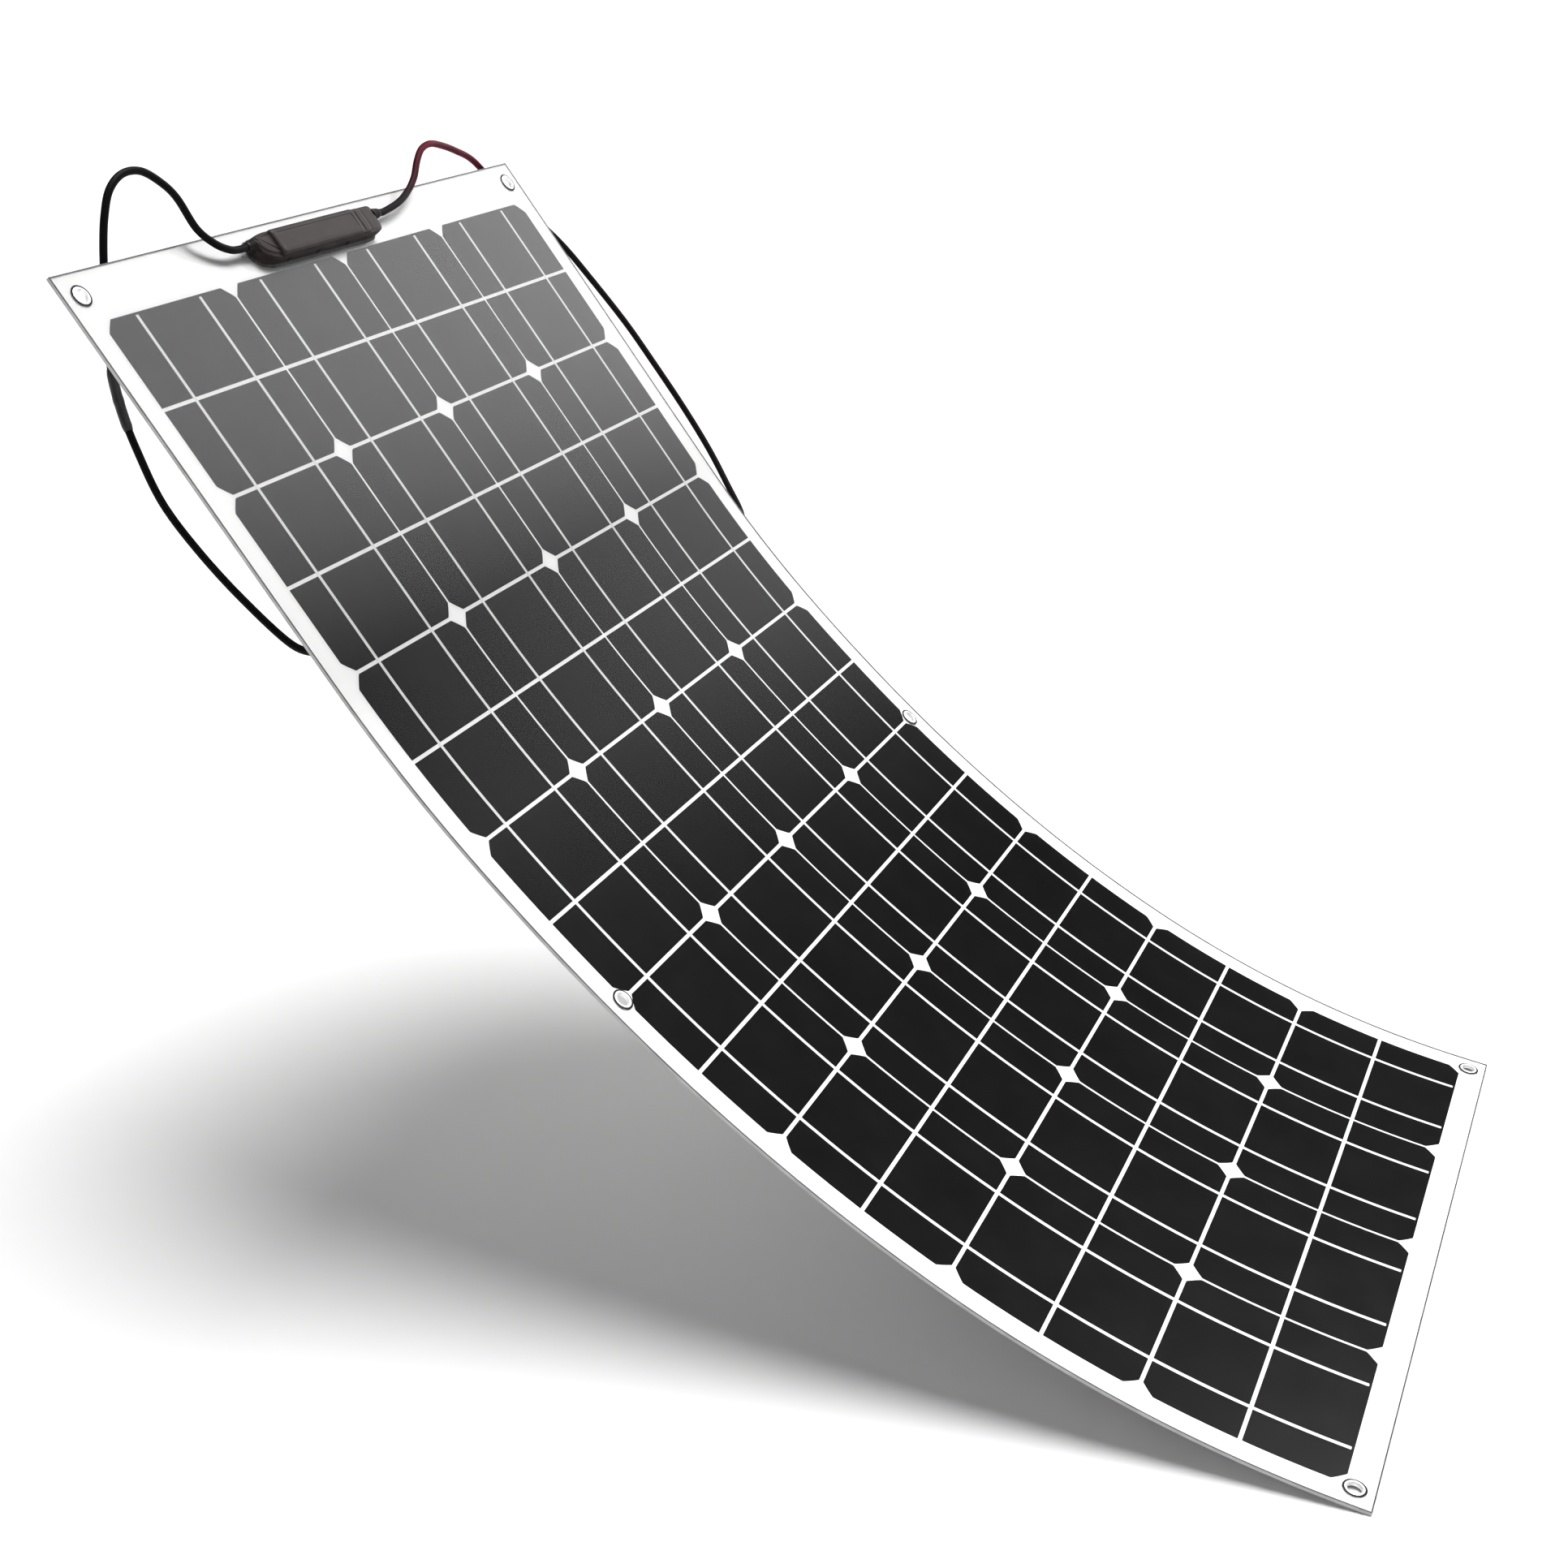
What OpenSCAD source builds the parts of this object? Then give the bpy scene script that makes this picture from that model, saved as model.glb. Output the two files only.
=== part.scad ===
// Flexible photovoltaic sheet, bent upwards from a low end that rests on the floor.
// X runs across the width, Y from the low end towards the raised end, Z up. Millimetres.
// The origin is on the back face, on the centre line, level with the first cell edge.

/* [Sheet] */
// Width across the short side
sheet_width = 540; // [400:1:700]
// White strip below the first row of cells
low_margin = 17; // [10:1:60]
// White strip above the last row of cells, where the connection box sits
top_margin = 33; // [28:1:80]
// Backing sheet with its rear bonding layer
rear_thick = 1.3; // [0.6:0.1:3]
// Silicon wafer
cell_thick = 0.2; // [0.15:0.01:0.5]
// Flat copper strip soldered on the cells
ribbon_thick = 0.2; // [0.1:0.01:0.5]
// Clear face sheet with its front bonding layer
front_thick = 0.8; // [0.3:0.1:2]

/* [Cells] */
// Distance from one whole cell to the next, both ways
cell_pitch = 127; // [100:1:210]
// Whole cell size across the sheet
cell_width = 125; // [98:0.5:208]
// Whole cell size along the sheet
cell_length = 124.5; // [98:0.5:208]
// Gap where each cell is cut in half
cut_gap = 2.5; // [1:0.1:5]
// Radius of the round wafer that each cell is cut from
wafer_radius = 82.5; // [70:0.5:150]
// Width of the two copper strips on each cell
ribbon_width = 2.5; // [1:0.1:6]

/* [Bend] */
// Slope of the low end
low_slope = 8; // [0:1:20]
// Bend at the first line above the low end
bend_a = 10; // [0:0.5:15]
// Bend at the second line
bend_b = 9; // [0:0.5:15]
// Bend at the third line
bend_c = 7; // [0:0.5:15]
// Bend at the fourth line
bend_d = 6; // [0:0.5:15]
// Bend at the fifth line
bend_e = 5; // [0:0.5:15]
// Bend at the sixth line, below the raised end
bend_f = 7.5; // [0:0.5:15]
// Slit left between neighbouring bays at a bend line
bay_slit = 0.3; // [0.1:0.05:1]

/* [Eyelets] */
// Clear hole radius
eyelet_bore = 4.6; // [2:0.1:8]
// Flange radius
eyelet_flange = 6.6; // [4:0.1:12]
// Barrel radius
eyelet_barrel = 5.1; // [3:0.1:9]
// Flange thickness
eyelet_lip = 0.6; // [0.3:0.1:1.5]
// Distance from the long edge to the hole centre
eyelet_inset = 15; // [10:0.5:30]
// Distance from the low edge to the hole centre
eyelet_low = 12.5; // [9:0.5:30]
// Distance from the top edge to the hole centre
eyelet_top = 16; // [9:0.5:40]

/* [Connection box] */
// Left end of the box, across the sheet
box_left = -90; // [-200:1:0]
// Length of the box
box_length = 140; // [100:1:200]
// Length of the low nose at the left end of the box
nose_length = 16; // [12:1:30]
// Length of the raised part of the lid
lid_length = 98; // [40:1:150]
// Width of the box along the sheet
box_width = 20.5; // [18:0.5:32]
// Gap from the top edge of the sheet to the box
box_edge_gap = 8.5; // [2:0.5:20]
// Height of the tray above its adhesive bed
tray_height = 7.4; // [5:0.1:15]
// Height of the lid above the tray
lid_height = 5; // [3:0.1:12]
// Thickness of the adhesive bed
bed_thick = 0.6; // [0.3:0.1:2]

/* [Leads] */
// Lead diameter
lead_diameter = 5; // [4:0.1:6]
// Length of the boot on the left
boot_left_length = 8; // [6:1:30]
// Length of the boot on the right
boot_right_length = 9; // [6:1:30]
// Connector barrel radius
plug_radius = 8.5; // [6:0.1:12]
// Connector length without its nut
plug_length = 40; // [25:1:70]
// Connector nut length
nut_length = 20; // [10:1:30]

/* [Hidden] */
eps = 0.01;
columns = 4;
half_rows = 16;
half_pitch = cell_pitch / 2;
block_width = columns * cell_pitch;
block_length = half_rows * half_pitch;
sheet_top = block_length + top_margin;
wafer_half = (cell_length - cut_gap) / 2;
total_thick = rear_thick + cell_thick + ribbon_thick + front_thick;
rear_floor = -total_thick;
cell_floor = rear_floor + rear_thick;
ribbon_floor = cell_floor + cell_thick;
front_floor = ribbon_floor + ribbon_thick;
fit_gap = 0.1;

// Bays between the bend lines: each starts and ends at these distances up the sheet.
bend_line = [for (n = [1 : 2 : 11]) n * half_pitch];
bay_start = concat([-low_margin], bend_line);
bay_end = concat(bend_line, [sheet_top]);
// First and last half row of cells in each bay.
bay_first = [0, 1, 3, 5, 7, 9, 11];
bay_last = [0, 2, 4, 6, 8, 10, 15];
bay_bend = [low_slope, bend_a, bend_b, bend_c, bend_d, bend_e, bend_f];

function slope(b) = b < 0 ? 0 : slope(b - 1) + bay_bend[b];
function bay_length(b) = bay_end[b] - bay_start[b];
// The origin sits on the back face where the first cells begin.
function bay_y(b) = b == 0
    ? -low_margin * cos(low_slope) - total_thick * sin(low_slope)
    : bay_y(b - 1) + bay_length(b - 1) * cos(slope(b - 1));
function bay_z(b) = b == 0
    ? -low_margin * sin(low_slope) + total_thick * cos(low_slope)
    : bay_z(b - 1) + bay_length(b - 1) * sin(slope(b - 1));

// Eyelets: the bay each one is in, its distance up the sheet, and its side.
eyelet_x = sheet_width / 2 - eyelet_inset;
eyelet_low_at = eyelet_low - low_margin;
eyelet_mid_at = block_length / 2;
eyelet_top_at = sheet_top - eyelet_top;

// Connection box, in the plane of the raised end.
raised = 6;
box_at = sheet_top - box_edge_gap - box_width - bay_start[raised];
box_wall = 2;
tray_floor = bed_thick;
tray_top = tray_floor + tray_height;
lid_top = tray_top + lid_height;
step_top = tray_top + lid_height / 2;
nose_drop = 2.2;
end_chamfer = 5;
box_right = box_left + box_length;
lead_radius = lead_diameter / 2;
lead_exit_across = box_width - 6.5;
lead_exit_at = box_at + lead_exit_across;
lead_exit_height = 6.5;
exit_left = box_left - boot_left_length;
exit_right = box_right + boot_right_length;

// A point in the plane of the raised end, given across, up the sheet and off its face.
function on_raised(p) = [
    p[0],
    bay_y(raised) + (p[1] - bay_start[raised]) * cos(slope(raised)) - p[2] * sin(slope(raised)),
    bay_z(raised) + (p[1] - bay_start[raised]) * sin(slope(raised)) + p[2] * cos(slope(raised))
];
exit_up = lead_exit_at + bay_start[raised];

// Cable route behind the raised end: axis of the lead and of the connectors off the face.
stow = -7;
plug_stow = -12.5;
neg_clip = [-246, 750];
pos_clip = [234, 771];
neg_plug_x = -78;
neg_plug_up = 925;
pos_plug_x = 130;
pos_plug_up = 906;

// Negative lead: out of the box, over the top edge, down behind the sheet and back up.
neg_open = [
    on_raised([exit_left, exit_up, lead_exit_height]),
    on_raised([exit_left - 4, exit_up, lead_exit_height]),
    on_raised([exit_left - 8, exit_up, lead_exit_height]),
    [-115, 788.2, 622], [-127, 790.5, 627.5], [-138.5, 795, 638.5], [-147, 801, 658], [-158, 804, 669],
    [-172, 807, 677], [-187, 809, 677], [-199, 810, 669], [-206, 810, 655], [-210, 810, 639],
    [-214, 809, 620], [-217, 809, 595], [-220, 807, 565], [-222, 801, 540], [-225, 790, 516],
    [-228, 773, 486], [-232, 746, 459], [-238, 712, 434], [-243, 676, 412]
];
neg_stowed = [
    [-246, 784, -15], [-246, 769, -7.8], [-246, 757, stow], [-246, 743, stow], [-245, 731, stow],
    [-236, 710, stow], [-214, 701, stow], [-192, 710, stow], [-182, 732, stow], [-182, 790, stow],
    [-182, 845, stow], [-182, 892, stow], [-173, 916, stow], [-150, 925, -8], [-130, 925, -10],
    [-112, 925, -12],
    [neg_plug_x - 20, neg_plug_up, plug_stow], [neg_plug_x, neg_plug_up, plug_stow]
];
neg_route = concat(neg_open, [for (p = neg_stowed) on_raised(p)]);

// Positive lead: over the top edge, out past the long edge and back behind the sheet.
pos_open = [
    on_raised([exit_right, exit_up, lead_exit_height]),
    on_raised([exit_right + 4, exit_up, lead_exit_height]),
    on_raised([exit_right + 8, exit_up, lead_exit_height]),
    [88, 789, 624], [106, 792, 629], [121, 795, 637], [133, 799, 647],
    [145, 802, 654], [160, 804, 656], [178, 806, 653], [203, 808, 646], [231, 809, 635],
    [255, 803, 613], [277, 788, 590], [294, 769, 565], [303, 747, 536], [309, 722, 504],
    [310, 701, 477], [310, 672, 439], [307, 648, 407], [299, 628, 381]
];
pos_stowed = [
    [289, 719, -12], [266, 710, -11], [243, 719, -9], [234, 742, stow], [234, 762, stow],
    [234, 780, stow], [234, 825, stow], [234, 873, stow], [225, 896, stow], [202, 906, -8],
    [184, 906, -10], [167, 906, -12], [pos_plug_x + 20, pos_plug_up, plug_stow],
    [pos_plug_x, pos_plug_up, plug_stow]
];
pos_route = concat(pos_open, [for (p = pos_stowed) on_raised(p)]);

// Smooth curve through a list of points.
function curve(a, b, c, d, t) = 0.5 * (2 * b + (c - a) * t + (2 * a - 5 * b + 4 * c - d) * t * t
    + (3 * b - a - 3 * c + d) * t * t * t);
function route(p, steps) = [
    for (i = [0 : len(p) - 2])
        for (k = [0 : steps - 1])
            curve(p[max(i - 1, 0)], p[i], p[i + 1], p[min(i + 2, len(p) - 1)], k / steps),
    p[len(p) - 1]
];
function unit(v) = v / norm(v);
function aim(p, i) = unit(p[min(i + 1, len(p) - 1)] - p[max(i - 1, 0)]);
function flat_to(v, t) = unit(v - (v * t) * t);
// Side vectors carried along the curve without twisting.
function sides(p) = [
    for (i = 0, s = flat_to([0.1, -0.8, 0.6], aim(p, 0)); i < len(p);
         i = i + 1, s = i < len(p) ? flat_to(s, aim(p, i)) : s) s
];
tube_sides = 10;

// Round tube along a curve, as one closed skin.
module tube(p, radius) {
    side = sides(p);
    rings = len(p);
    skin = [
        for (i = [0 : rings - 1])
            for (k = [0 : tube_sides - 1])
                let (angle = 360 * k / tube_sides, lift = cross(aim(p, i), side[i]))
                p[i] + radius * (cos(angle) * side[i] + sin(angle) * lift)
    ];
    walls = [
        for (i = [0 : rings - 2])
            for (k = [0 : tube_sides - 1])
                let (a = i * tube_sides + k, b = i * tube_sides + (k + 1) % tube_sides)
                each [[a, a + tube_sides, b], [b, a + tube_sides, b + tube_sides]]
    ];
    near_cap = [for (k = [0 : tube_sides - 1]) k];
    far_cap = [for (k = [tube_sides - 1 : -1 : 0]) (rings - 1) * tube_sides + k];
    polyhedron(points = skin, faces = concat([near_cap], walls, [far_cap]), convexity = 8);
}

// Places a bay's own flat layout at its slope. In it, Y is up the sheet and Z is off the face.
module in_bay(b) {
    translate([0, bay_y(b), bay_z(b)])
        rotate([slope(b), 0, 0])
            children();
}

// One flat layer of a bay between two heights, without the slit at a bend line.
module layer(b, floor_at, thick) {
    low_trim = b == 0 ? 0 : bay_slit / 2;
    high_trim = b == raised ? 0 : bay_slit / 2;
    translate([-sheet_width / 2, low_trim, floor_at])
        cube([sheet_width, bay_length(b) - low_trim - high_trim, thick]);
}

// Half cell: a square of silicon with the corners left round by the wafer.
module half_cell(upper) {
    intersection() {
        translate([-cell_width / 2, upper ? cut_gap / 2 : -cell_length / 2, cell_floor])
            cube([cell_width, wafer_half, cell_thick]);
        translate([0, 0, cell_floor - eps])
            cylinder(r = wafer_radius, h = cell_thick + 2 * eps, $fn = 180);
    }
}

// All half cells of a bay.
module bay_cells(b) {
    for (h = [bay_first[b] : bay_last[b]])
        for (c = [0 : columns - 1])
            translate([
                (c + 0.5) * cell_pitch - block_width / 2,
                (floor(h / 2) + 0.5) * cell_pitch - bay_start[b],
                0
            ])
                half_cell(h % 2 == 1);
}

// Copper strips of a bay, two on each column of cells.
ribbon_end = 3;
module bay_ribbons(b) {
    low_at = b == 0 ? ribbon_end : bay_start[b] + 2 * bay_slit;
    high_at = b == raised ? block_length - ribbon_end : bay_end[b] - 2 * bay_slit;
    for (c = [0 : columns - 1])
        for (side = [-1, 1])
            translate([
                (c + 0.5) * cell_pitch - block_width / 2 + side * cell_width / 4 - ribbon_width / 2,
                low_at - bay_start[b],
                ribbon_floor
            ])
                cube([ribbon_width, high_at - low_at, ribbon_thick]);
}

// Holes for the eyelets of a bay, with a seat for each lower flange when asked.
module bay_holes(b, seated) {
    at = b == 0 ? eyelet_low_at : b == 4 ? eyelet_mid_at : eyelet_top_at;
    if (b == 0 || b == 4 || b == raised)
        for (side = [-1, 1])
            translate([side * eyelet_x, at - bay_start[b], 0]) {
                translate([0, 0, rear_floor - 1])
                    cylinder(r = eyelet_barrel + fit_gap, h = total_thick + 2, $fn = 48);
                if (seated)
                    translate([0, 0, rear_floor - 1])
                        cylinder(r = eyelet_flange + fit_gap, h = eyelet_lip + 1, $fn = 48);
            }
}

module rear_sheet(b) {
    difference() {
        layer(b, rear_floor, rear_thick);
        bay_holes(b, true);
    }
}

// Bonding layer round the cells and strips.
module bond_fill(b) {
    difference() {
        layer(b, cell_floor, cell_thick + ribbon_thick);
        bay_cells(b);
        bay_ribbons(b);
        bay_holes(b, false);
    }
}

module front_film(b) {
    difference() {
        layer(b, front_floor, front_thick);
        bay_holes(b, false);
    }
}

// Eyelet: upper flange on the face, barrel through the sheet, lower flange set into the back.
module eyelet(b, at, side) {
    in_bay(b)
        translate([side * eyelet_x, at - bay_start[b], 0])
            difference() {
                union() {
                    cylinder(r = eyelet_flange, h = eyelet_lip, $fn = 48);
                    translate([0, 0, rear_floor])
                        cylinder(r = eyelet_barrel, h = total_thick + eyelet_lip, $fn = 48);
                    translate([0, 0, rear_floor])
                        cylinder(r = eyelet_flange, h = eyelet_lip, $fn = 48);
                }
                translate([0, 0, rear_floor - 1])
                    cylinder(r = eyelet_bore, h = total_thick + eyelet_lip + 2, $fn = 48);
            }
}

// Places a piece of the connection box on the raised end: X across, Y up the sheet, Z off the face.
module on_box() {
    in_bay(raised)
        translate([0, box_at, 0])
            children();
}

// Outline of the box seen from above, drawn in by a wall: a nose tapering to the lead on the left.
nose_half = 4.6;
corner_cut = 3;
function box_plan(wall) = [
    [box_left + wall, lead_exit_across - nose_half + wall / 2],
    [box_left + 5 + wall / 2, 4 + wall],
    [box_left + nose_length - 4, 1 + wall],
    [box_left + nose_length + 4, wall],
    [box_right - end_chamfer - wall / 2, wall],
    [box_right - wall, end_chamfer + wall / 2],
    [box_right - wall, box_width - corner_cut - wall / 2],
    [box_right - corner_cut - wall / 2, box_width - wall],
    [box_left + nose_length - 4, box_width - wall],
    [box_left + wall, lead_exit_across + nose_half - wall / 2]
];

module box_slab(wall, height) {
    linear_extrude(height = height)
        polygon(box_plan(wall));
}

lid_from = box_left + nose_length;
lid_to = lid_from + lid_length;
lid_bevel = 1.5;
lid_pocket = 3;
end_step = 10;

// Profile of the lid along its length, pulled across its width and cut to the outline of the box.
module lid_body() {
    intersection() {
        translate([0, box_width, 0])
            rotate([90, 0, 0])
                linear_extrude(height = box_width)
                    polygon([
                        [box_left, tray_top],
                        [box_right, tray_top],
                        [box_right, tray_top + 1],
                        [box_right - 2, step_top - 0.8],
                        [lid_to + end_step + 1, step_top - 0.8],
                        [lid_to + end_step, step_top + 0.8],
                        [lid_to + 1, step_top + 0.8],
                        [lid_to, lid_top - 0.5],
                        [lid_to - 1, lid_top],
                        [lid_from + 2, lid_top],
                        [lid_from, lid_top - nose_drop],
                        [box_left + 4, lid_top - nose_drop],
                        [box_left, lid_top - nose_drop - 1.2]
                    ]);
        translate([box_left - 1, 0, 0])
            rotate([90, 0, 90])
                linear_extrude(height = box_length + 2)
                    polygon([
                        [0, tray_top - 1],
                        [box_width, tray_top - 1],
                        [box_width, lid_top - 2 * lid_bevel],
                        [box_width - lid_bevel, lid_top],
                        [lid_bevel, lid_top],
                        [0, lid_top - 2 * lid_bevel]
                    ]);
        translate([0, 0, tray_top - 1])
            box_slab(0, lid_height + 2);
    }
}

// Ribbed rubber boot, from the box wall outwards along Z.
boot_base = 4.2;
boot_tip = 3.3;
module boot(length) {
    rib = length / 5;
    rotate_extrude($fn = 48)
        polygon([
            [0, 0],
            [boot_base, 0],
            [boot_base, rib],
            [boot_tip, rib],
            [boot_tip, 2 * rib],
            [boot_base - 0.5, 2 * rib],
            [boot_base - 0.5, 3 * rib],
            [boot_tip - 0.2, 3 * rib],
            [boot_tip - 0.2, 4 * rib],
            [boot_tip, 4 * rib],
            [boot_tip - 0.4, length],
            [0, length]
        ]);
}

// Adhesive saddle for the lead: pad on the back of the sheet and a closed loop, along Y.
saddle_wall = 1.4;
saddle_pad = 1.4;
saddle_half = 6;
module saddle(radius, axis_height, pad_width) {
    difference() {
        union() {
            translate([-pad_width / 2, -saddle_half, rear_floor - saddle_pad])
                cube([pad_width, 2 * saddle_half, saddle_pad]);
            translate([0, saddle_half, axis_height])
                rotate([90, 0, 0])
                    cylinder(r = radius + saddle_wall, h = 2 * saddle_half, $fn = 48);
            translate([-radius - saddle_wall, -saddle_half, axis_height])
                cube([2 * (radius + saddle_wall), 2 * saddle_half, rear_floor - axis_height]);
        }
        translate([0, saddle_half + 1, axis_height])
            rotate([90, 0, 0])
                cylinder(r = radius + fit_gap, h = 2 * saddle_half + 2, $fn = 48);
    }
}

// Connector, cable end at the start and running along Z.
plug_tip = 6.2;
plug_mouth = 4;
plug_well = 16;
plug_collar = 16;
nut_core = 0.8;
module plug_body(with_arms) {
    difference() {
        union() {
            translate([0, 0, nut_length])
                rotate_extrude($fn = 48)
                    polygon([
                        [0, 0],
                        [plug_radius - 1, 0],
                        [plug_radius, 1],
                        [plug_radius, plug_collar - 1],
                        [plug_radius - 1, plug_collar],
                        [plug_tip, plug_collar],
                        [plug_tip, plug_length - 1],
                        [plug_tip - 1, plug_length],
                        [0, plug_length]
                    ]);
            if (with_arms)
                for (side = [-1, 1])
                    translate([side * (plug_tip + 1) - 1.2, -2.5, nut_length + plug_collar - 2])
                        cube([2.4, 5, plug_length - plug_collar]);
        }
        translate([0, 0, nut_length + plug_length - plug_well])
            cylinder(r = plug_mouth, h = plug_well + 1, $fn = 48);
    }
}

module plug_nut() {
    linear_extrude(height = nut_length - 4)
        circle(r = plug_radius + nut_core, $fn = 12);
    translate([0, 0, nut_length - 4])
        cylinder(r = plug_radius - 1, h = 4, $fn = 48);
}

module neg_plug_place() {
    in_bay(raised)
        translate([neg_plug_x, neg_plug_up - bay_start[raised], plug_stow])
            rotate([0, 90, 0])
                children();
}

module pos_plug_place() {
    in_bay(raised)
        translate([pos_plug_x, pos_plug_up - bay_start[raised], plug_stow])
            rotate([0, -90, 0])
                children();
}

// Colours of the materials.
white = [0.93, 0.93, 0.92];
clear = [0.92, 0.95, 0.97, 0.25];
silicon = [0.06, 0.06, 0.07];
copper_tinned = [0.85, 0.85, 0.86];
steel = [0.78, 0.78, 0.79];
black_rubber = [0.03, 0.03, 0.03];
dark_red = [0.16, 0.02, 0.04];
box_brown = [0.12, 0.09, 0.09];

// Every piece, in the frame of the whole sheet.

module rear_sheet_low_end() {
    color(white)
        in_bay(0)
            rear_sheet(0);
}

module bond_fill_low_end() {
    color(clear)
        in_bay(0)
            bond_fill(0);
}

module cells_low_end() {
    color(silicon)
        in_bay(0)
            bay_cells(0);
}

module ribbons_low_end() {
    color(copper_tinned)
        in_bay(0)
            bay_ribbons(0);
}

module front_film_low_end() {
    color(clear)
        in_bay(0)
            front_film(0);
}

module rear_sheet_bend_1() {
    color(white)
        in_bay(1)
            rear_sheet(1);
}

module bond_fill_bend_1() {
    color(clear)
        in_bay(1)
            bond_fill(1);
}

module cells_bend_1() {
    color(silicon)
        in_bay(1)
            bay_cells(1);
}

module ribbons_bend_1() {
    color(copper_tinned)
        in_bay(1)
            bay_ribbons(1);
}

module front_film_bend_1() {
    color(clear)
        in_bay(1)
            front_film(1);
}

module rear_sheet_bend_2() {
    color(white)
        in_bay(2)
            rear_sheet(2);
}

module bond_fill_bend_2() {
    color(clear)
        in_bay(2)
            bond_fill(2);
}

module cells_bend_2() {
    color(silicon)
        in_bay(2)
            bay_cells(2);
}

module ribbons_bend_2() {
    color(copper_tinned)
        in_bay(2)
            bay_ribbons(2);
}

module front_film_bend_2() {
    color(clear)
        in_bay(2)
            front_film(2);
}

module rear_sheet_bend_3() {
    color(white)
        in_bay(3)
            rear_sheet(3);
}

module bond_fill_bend_3() {
    color(clear)
        in_bay(3)
            bond_fill(3);
}

module cells_bend_3() {
    color(silicon)
        in_bay(3)
            bay_cells(3);
}

module ribbons_bend_3() {
    color(copper_tinned)
        in_bay(3)
            bay_ribbons(3);
}

module front_film_bend_3() {
    color(clear)
        in_bay(3)
            front_film(3);
}

module rear_sheet_bend_4() {
    color(white)
        in_bay(4)
            rear_sheet(4);
}

module bond_fill_bend_4() {
    color(clear)
        in_bay(4)
            bond_fill(4);
}

module cells_bend_4() {
    color(silicon)
        in_bay(4)
            bay_cells(4);
}

module ribbons_bend_4() {
    color(copper_tinned)
        in_bay(4)
            bay_ribbons(4);
}

module front_film_bend_4() {
    color(clear)
        in_bay(4)
            front_film(4);
}

module rear_sheet_bend_5() {
    color(white)
        in_bay(5)
            rear_sheet(5);
}

module bond_fill_bend_5() {
    color(clear)
        in_bay(5)
            bond_fill(5);
}

module cells_bend_5() {
    color(silicon)
        in_bay(5)
            bay_cells(5);
}

module ribbons_bend_5() {
    color(copper_tinned)
        in_bay(5)
            bay_ribbons(5);
}

module front_film_bend_5() {
    color(clear)
        in_bay(5)
            front_film(5);
}

module rear_sheet_raised_end() {
    color(white)
        in_bay(6)
            rear_sheet(6);
}

module bond_fill_raised_end() {
    color(clear)
        in_bay(6)
            bond_fill(6);
}

module cells_raised_end() {
    color(silicon)
        in_bay(6)
            bay_cells(6);
}

module ribbons_raised_end() {
    color(copper_tinned)
        in_bay(6)
            bay_ribbons(6);
}

module front_film_raised_end() {
    color(clear)
        in_bay(6)
            front_film(6);
}

module eyelet_low_left() {
    color(steel)
        eyelet(0, eyelet_low_at, -1);
}

module eyelet_low_right() {
    color(steel)
        eyelet(0, eyelet_low_at, 1);
}

module eyelet_mid_left() {
    color(steel)
        eyelet(4, eyelet_mid_at, -1);
}

module eyelet_mid_right() {
    color(steel)
        eyelet(4, eyelet_mid_at, 1);
}

module eyelet_top_left() {
    color(steel)
        eyelet(6, eyelet_top_at, -1);
}

module eyelet_top_right() {
    color(steel)
        eyelet(6, eyelet_top_at, 1);
}

module box_bed() {
    color(black_rubber)
        on_box()
            box_slab(1, bed_thick);
}

module box_base() {
    color(box_brown)
        on_box()
            difference() {
                translate([0, 0, tray_floor])
                    box_slab(0, tray_height);
                translate([0, 0, tray_floor + box_wall])
                    box_slab(box_wall, tray_height);
            }
}

module box_lid() {
    color(box_brown)
        on_box()
            difference() {
                lid_body();
                translate([lid_from + lid_pocket, lid_pocket, tray_top - 1])
                    cube([lid_length - 2 * lid_pocket, box_width - 2 * lid_pocket, 1 + lid_height / 2]);
            }
}

// Two contact plates on the floor of the tray.
plate_length = 22;
plate_width = 12;
plate_thick = 1;
plate_left = box_left + 20;
plate_right = box_right - 12 - plate_length;
module box_terminals() {
    color(copper_tinned)
        on_box()
            for (x = [plate_left, plate_right])
                translate([x, (box_width - plate_width) / 2, tray_floor + box_wall])
                    cube([plate_length, plate_width, plate_thick]);
}

// Bypass diode with its two flat legs resting on the contact plates.
diode_length = 16;
diode_width = 10;
diode_height = 3.4;
leg_width = 4;
leg_thick = 0.6;
leg_overlap = 4;
module box_diode() {
    middle = (box_left + box_right) / 2;
    leg_from = plate_left + plate_length - leg_overlap;
    leg_to = plate_right + leg_overlap;
    diode_from = middle - diode_length / 2;
    color(black_rubber)
        on_box()
            union() {
                translate([diode_from, (box_width - diode_width) / 2, tray_floor + box_wall])
                    cube([diode_length, diode_width, diode_height]);
                translate([leg_from, (box_width - leg_width) / 2, tray_floor + box_wall + plate_thick])
                    cube([leg_to - leg_from, leg_width, leg_thick]);
            }
}

module boot_neg() {
    color(black_rubber)
        in_bay(raised)
            translate([box_left, lead_exit_at, lead_exit_height])
                rotate([0, -90, 0])
                    boot(boot_left_length);
}

module boot_pos() {
    color(black_rubber)
        in_bay(raised)
            translate([box_right, lead_exit_at, lead_exit_height])
                rotate([0, 90, 0])
                    boot(boot_right_length);
}

neg_curve = route(neg_route, 2);
module lead_neg() {
    color(black_rubber)
        tube(neg_curve, lead_radius);
}

pos_curve = route(pos_route, 2);
module lead_pos() {
    color(dark_red)
        tube(pos_curve, lead_radius);
}

// Heat-shrink marker sleeve on the hanging part of the negative lead.
sleeve_first = 30;
sleeve_last = 33;
sleeve_radius = 3.3;
module sleeve_neg() {
    color(black_rubber)
        tube([for (i = [sleeve_first : sleeve_last]) neg_curve[i]], sleeve_radius);
}

module plug_body_neg() {
    color(black_rubber)
        neg_plug_place()
            plug_body(true);
}

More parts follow.
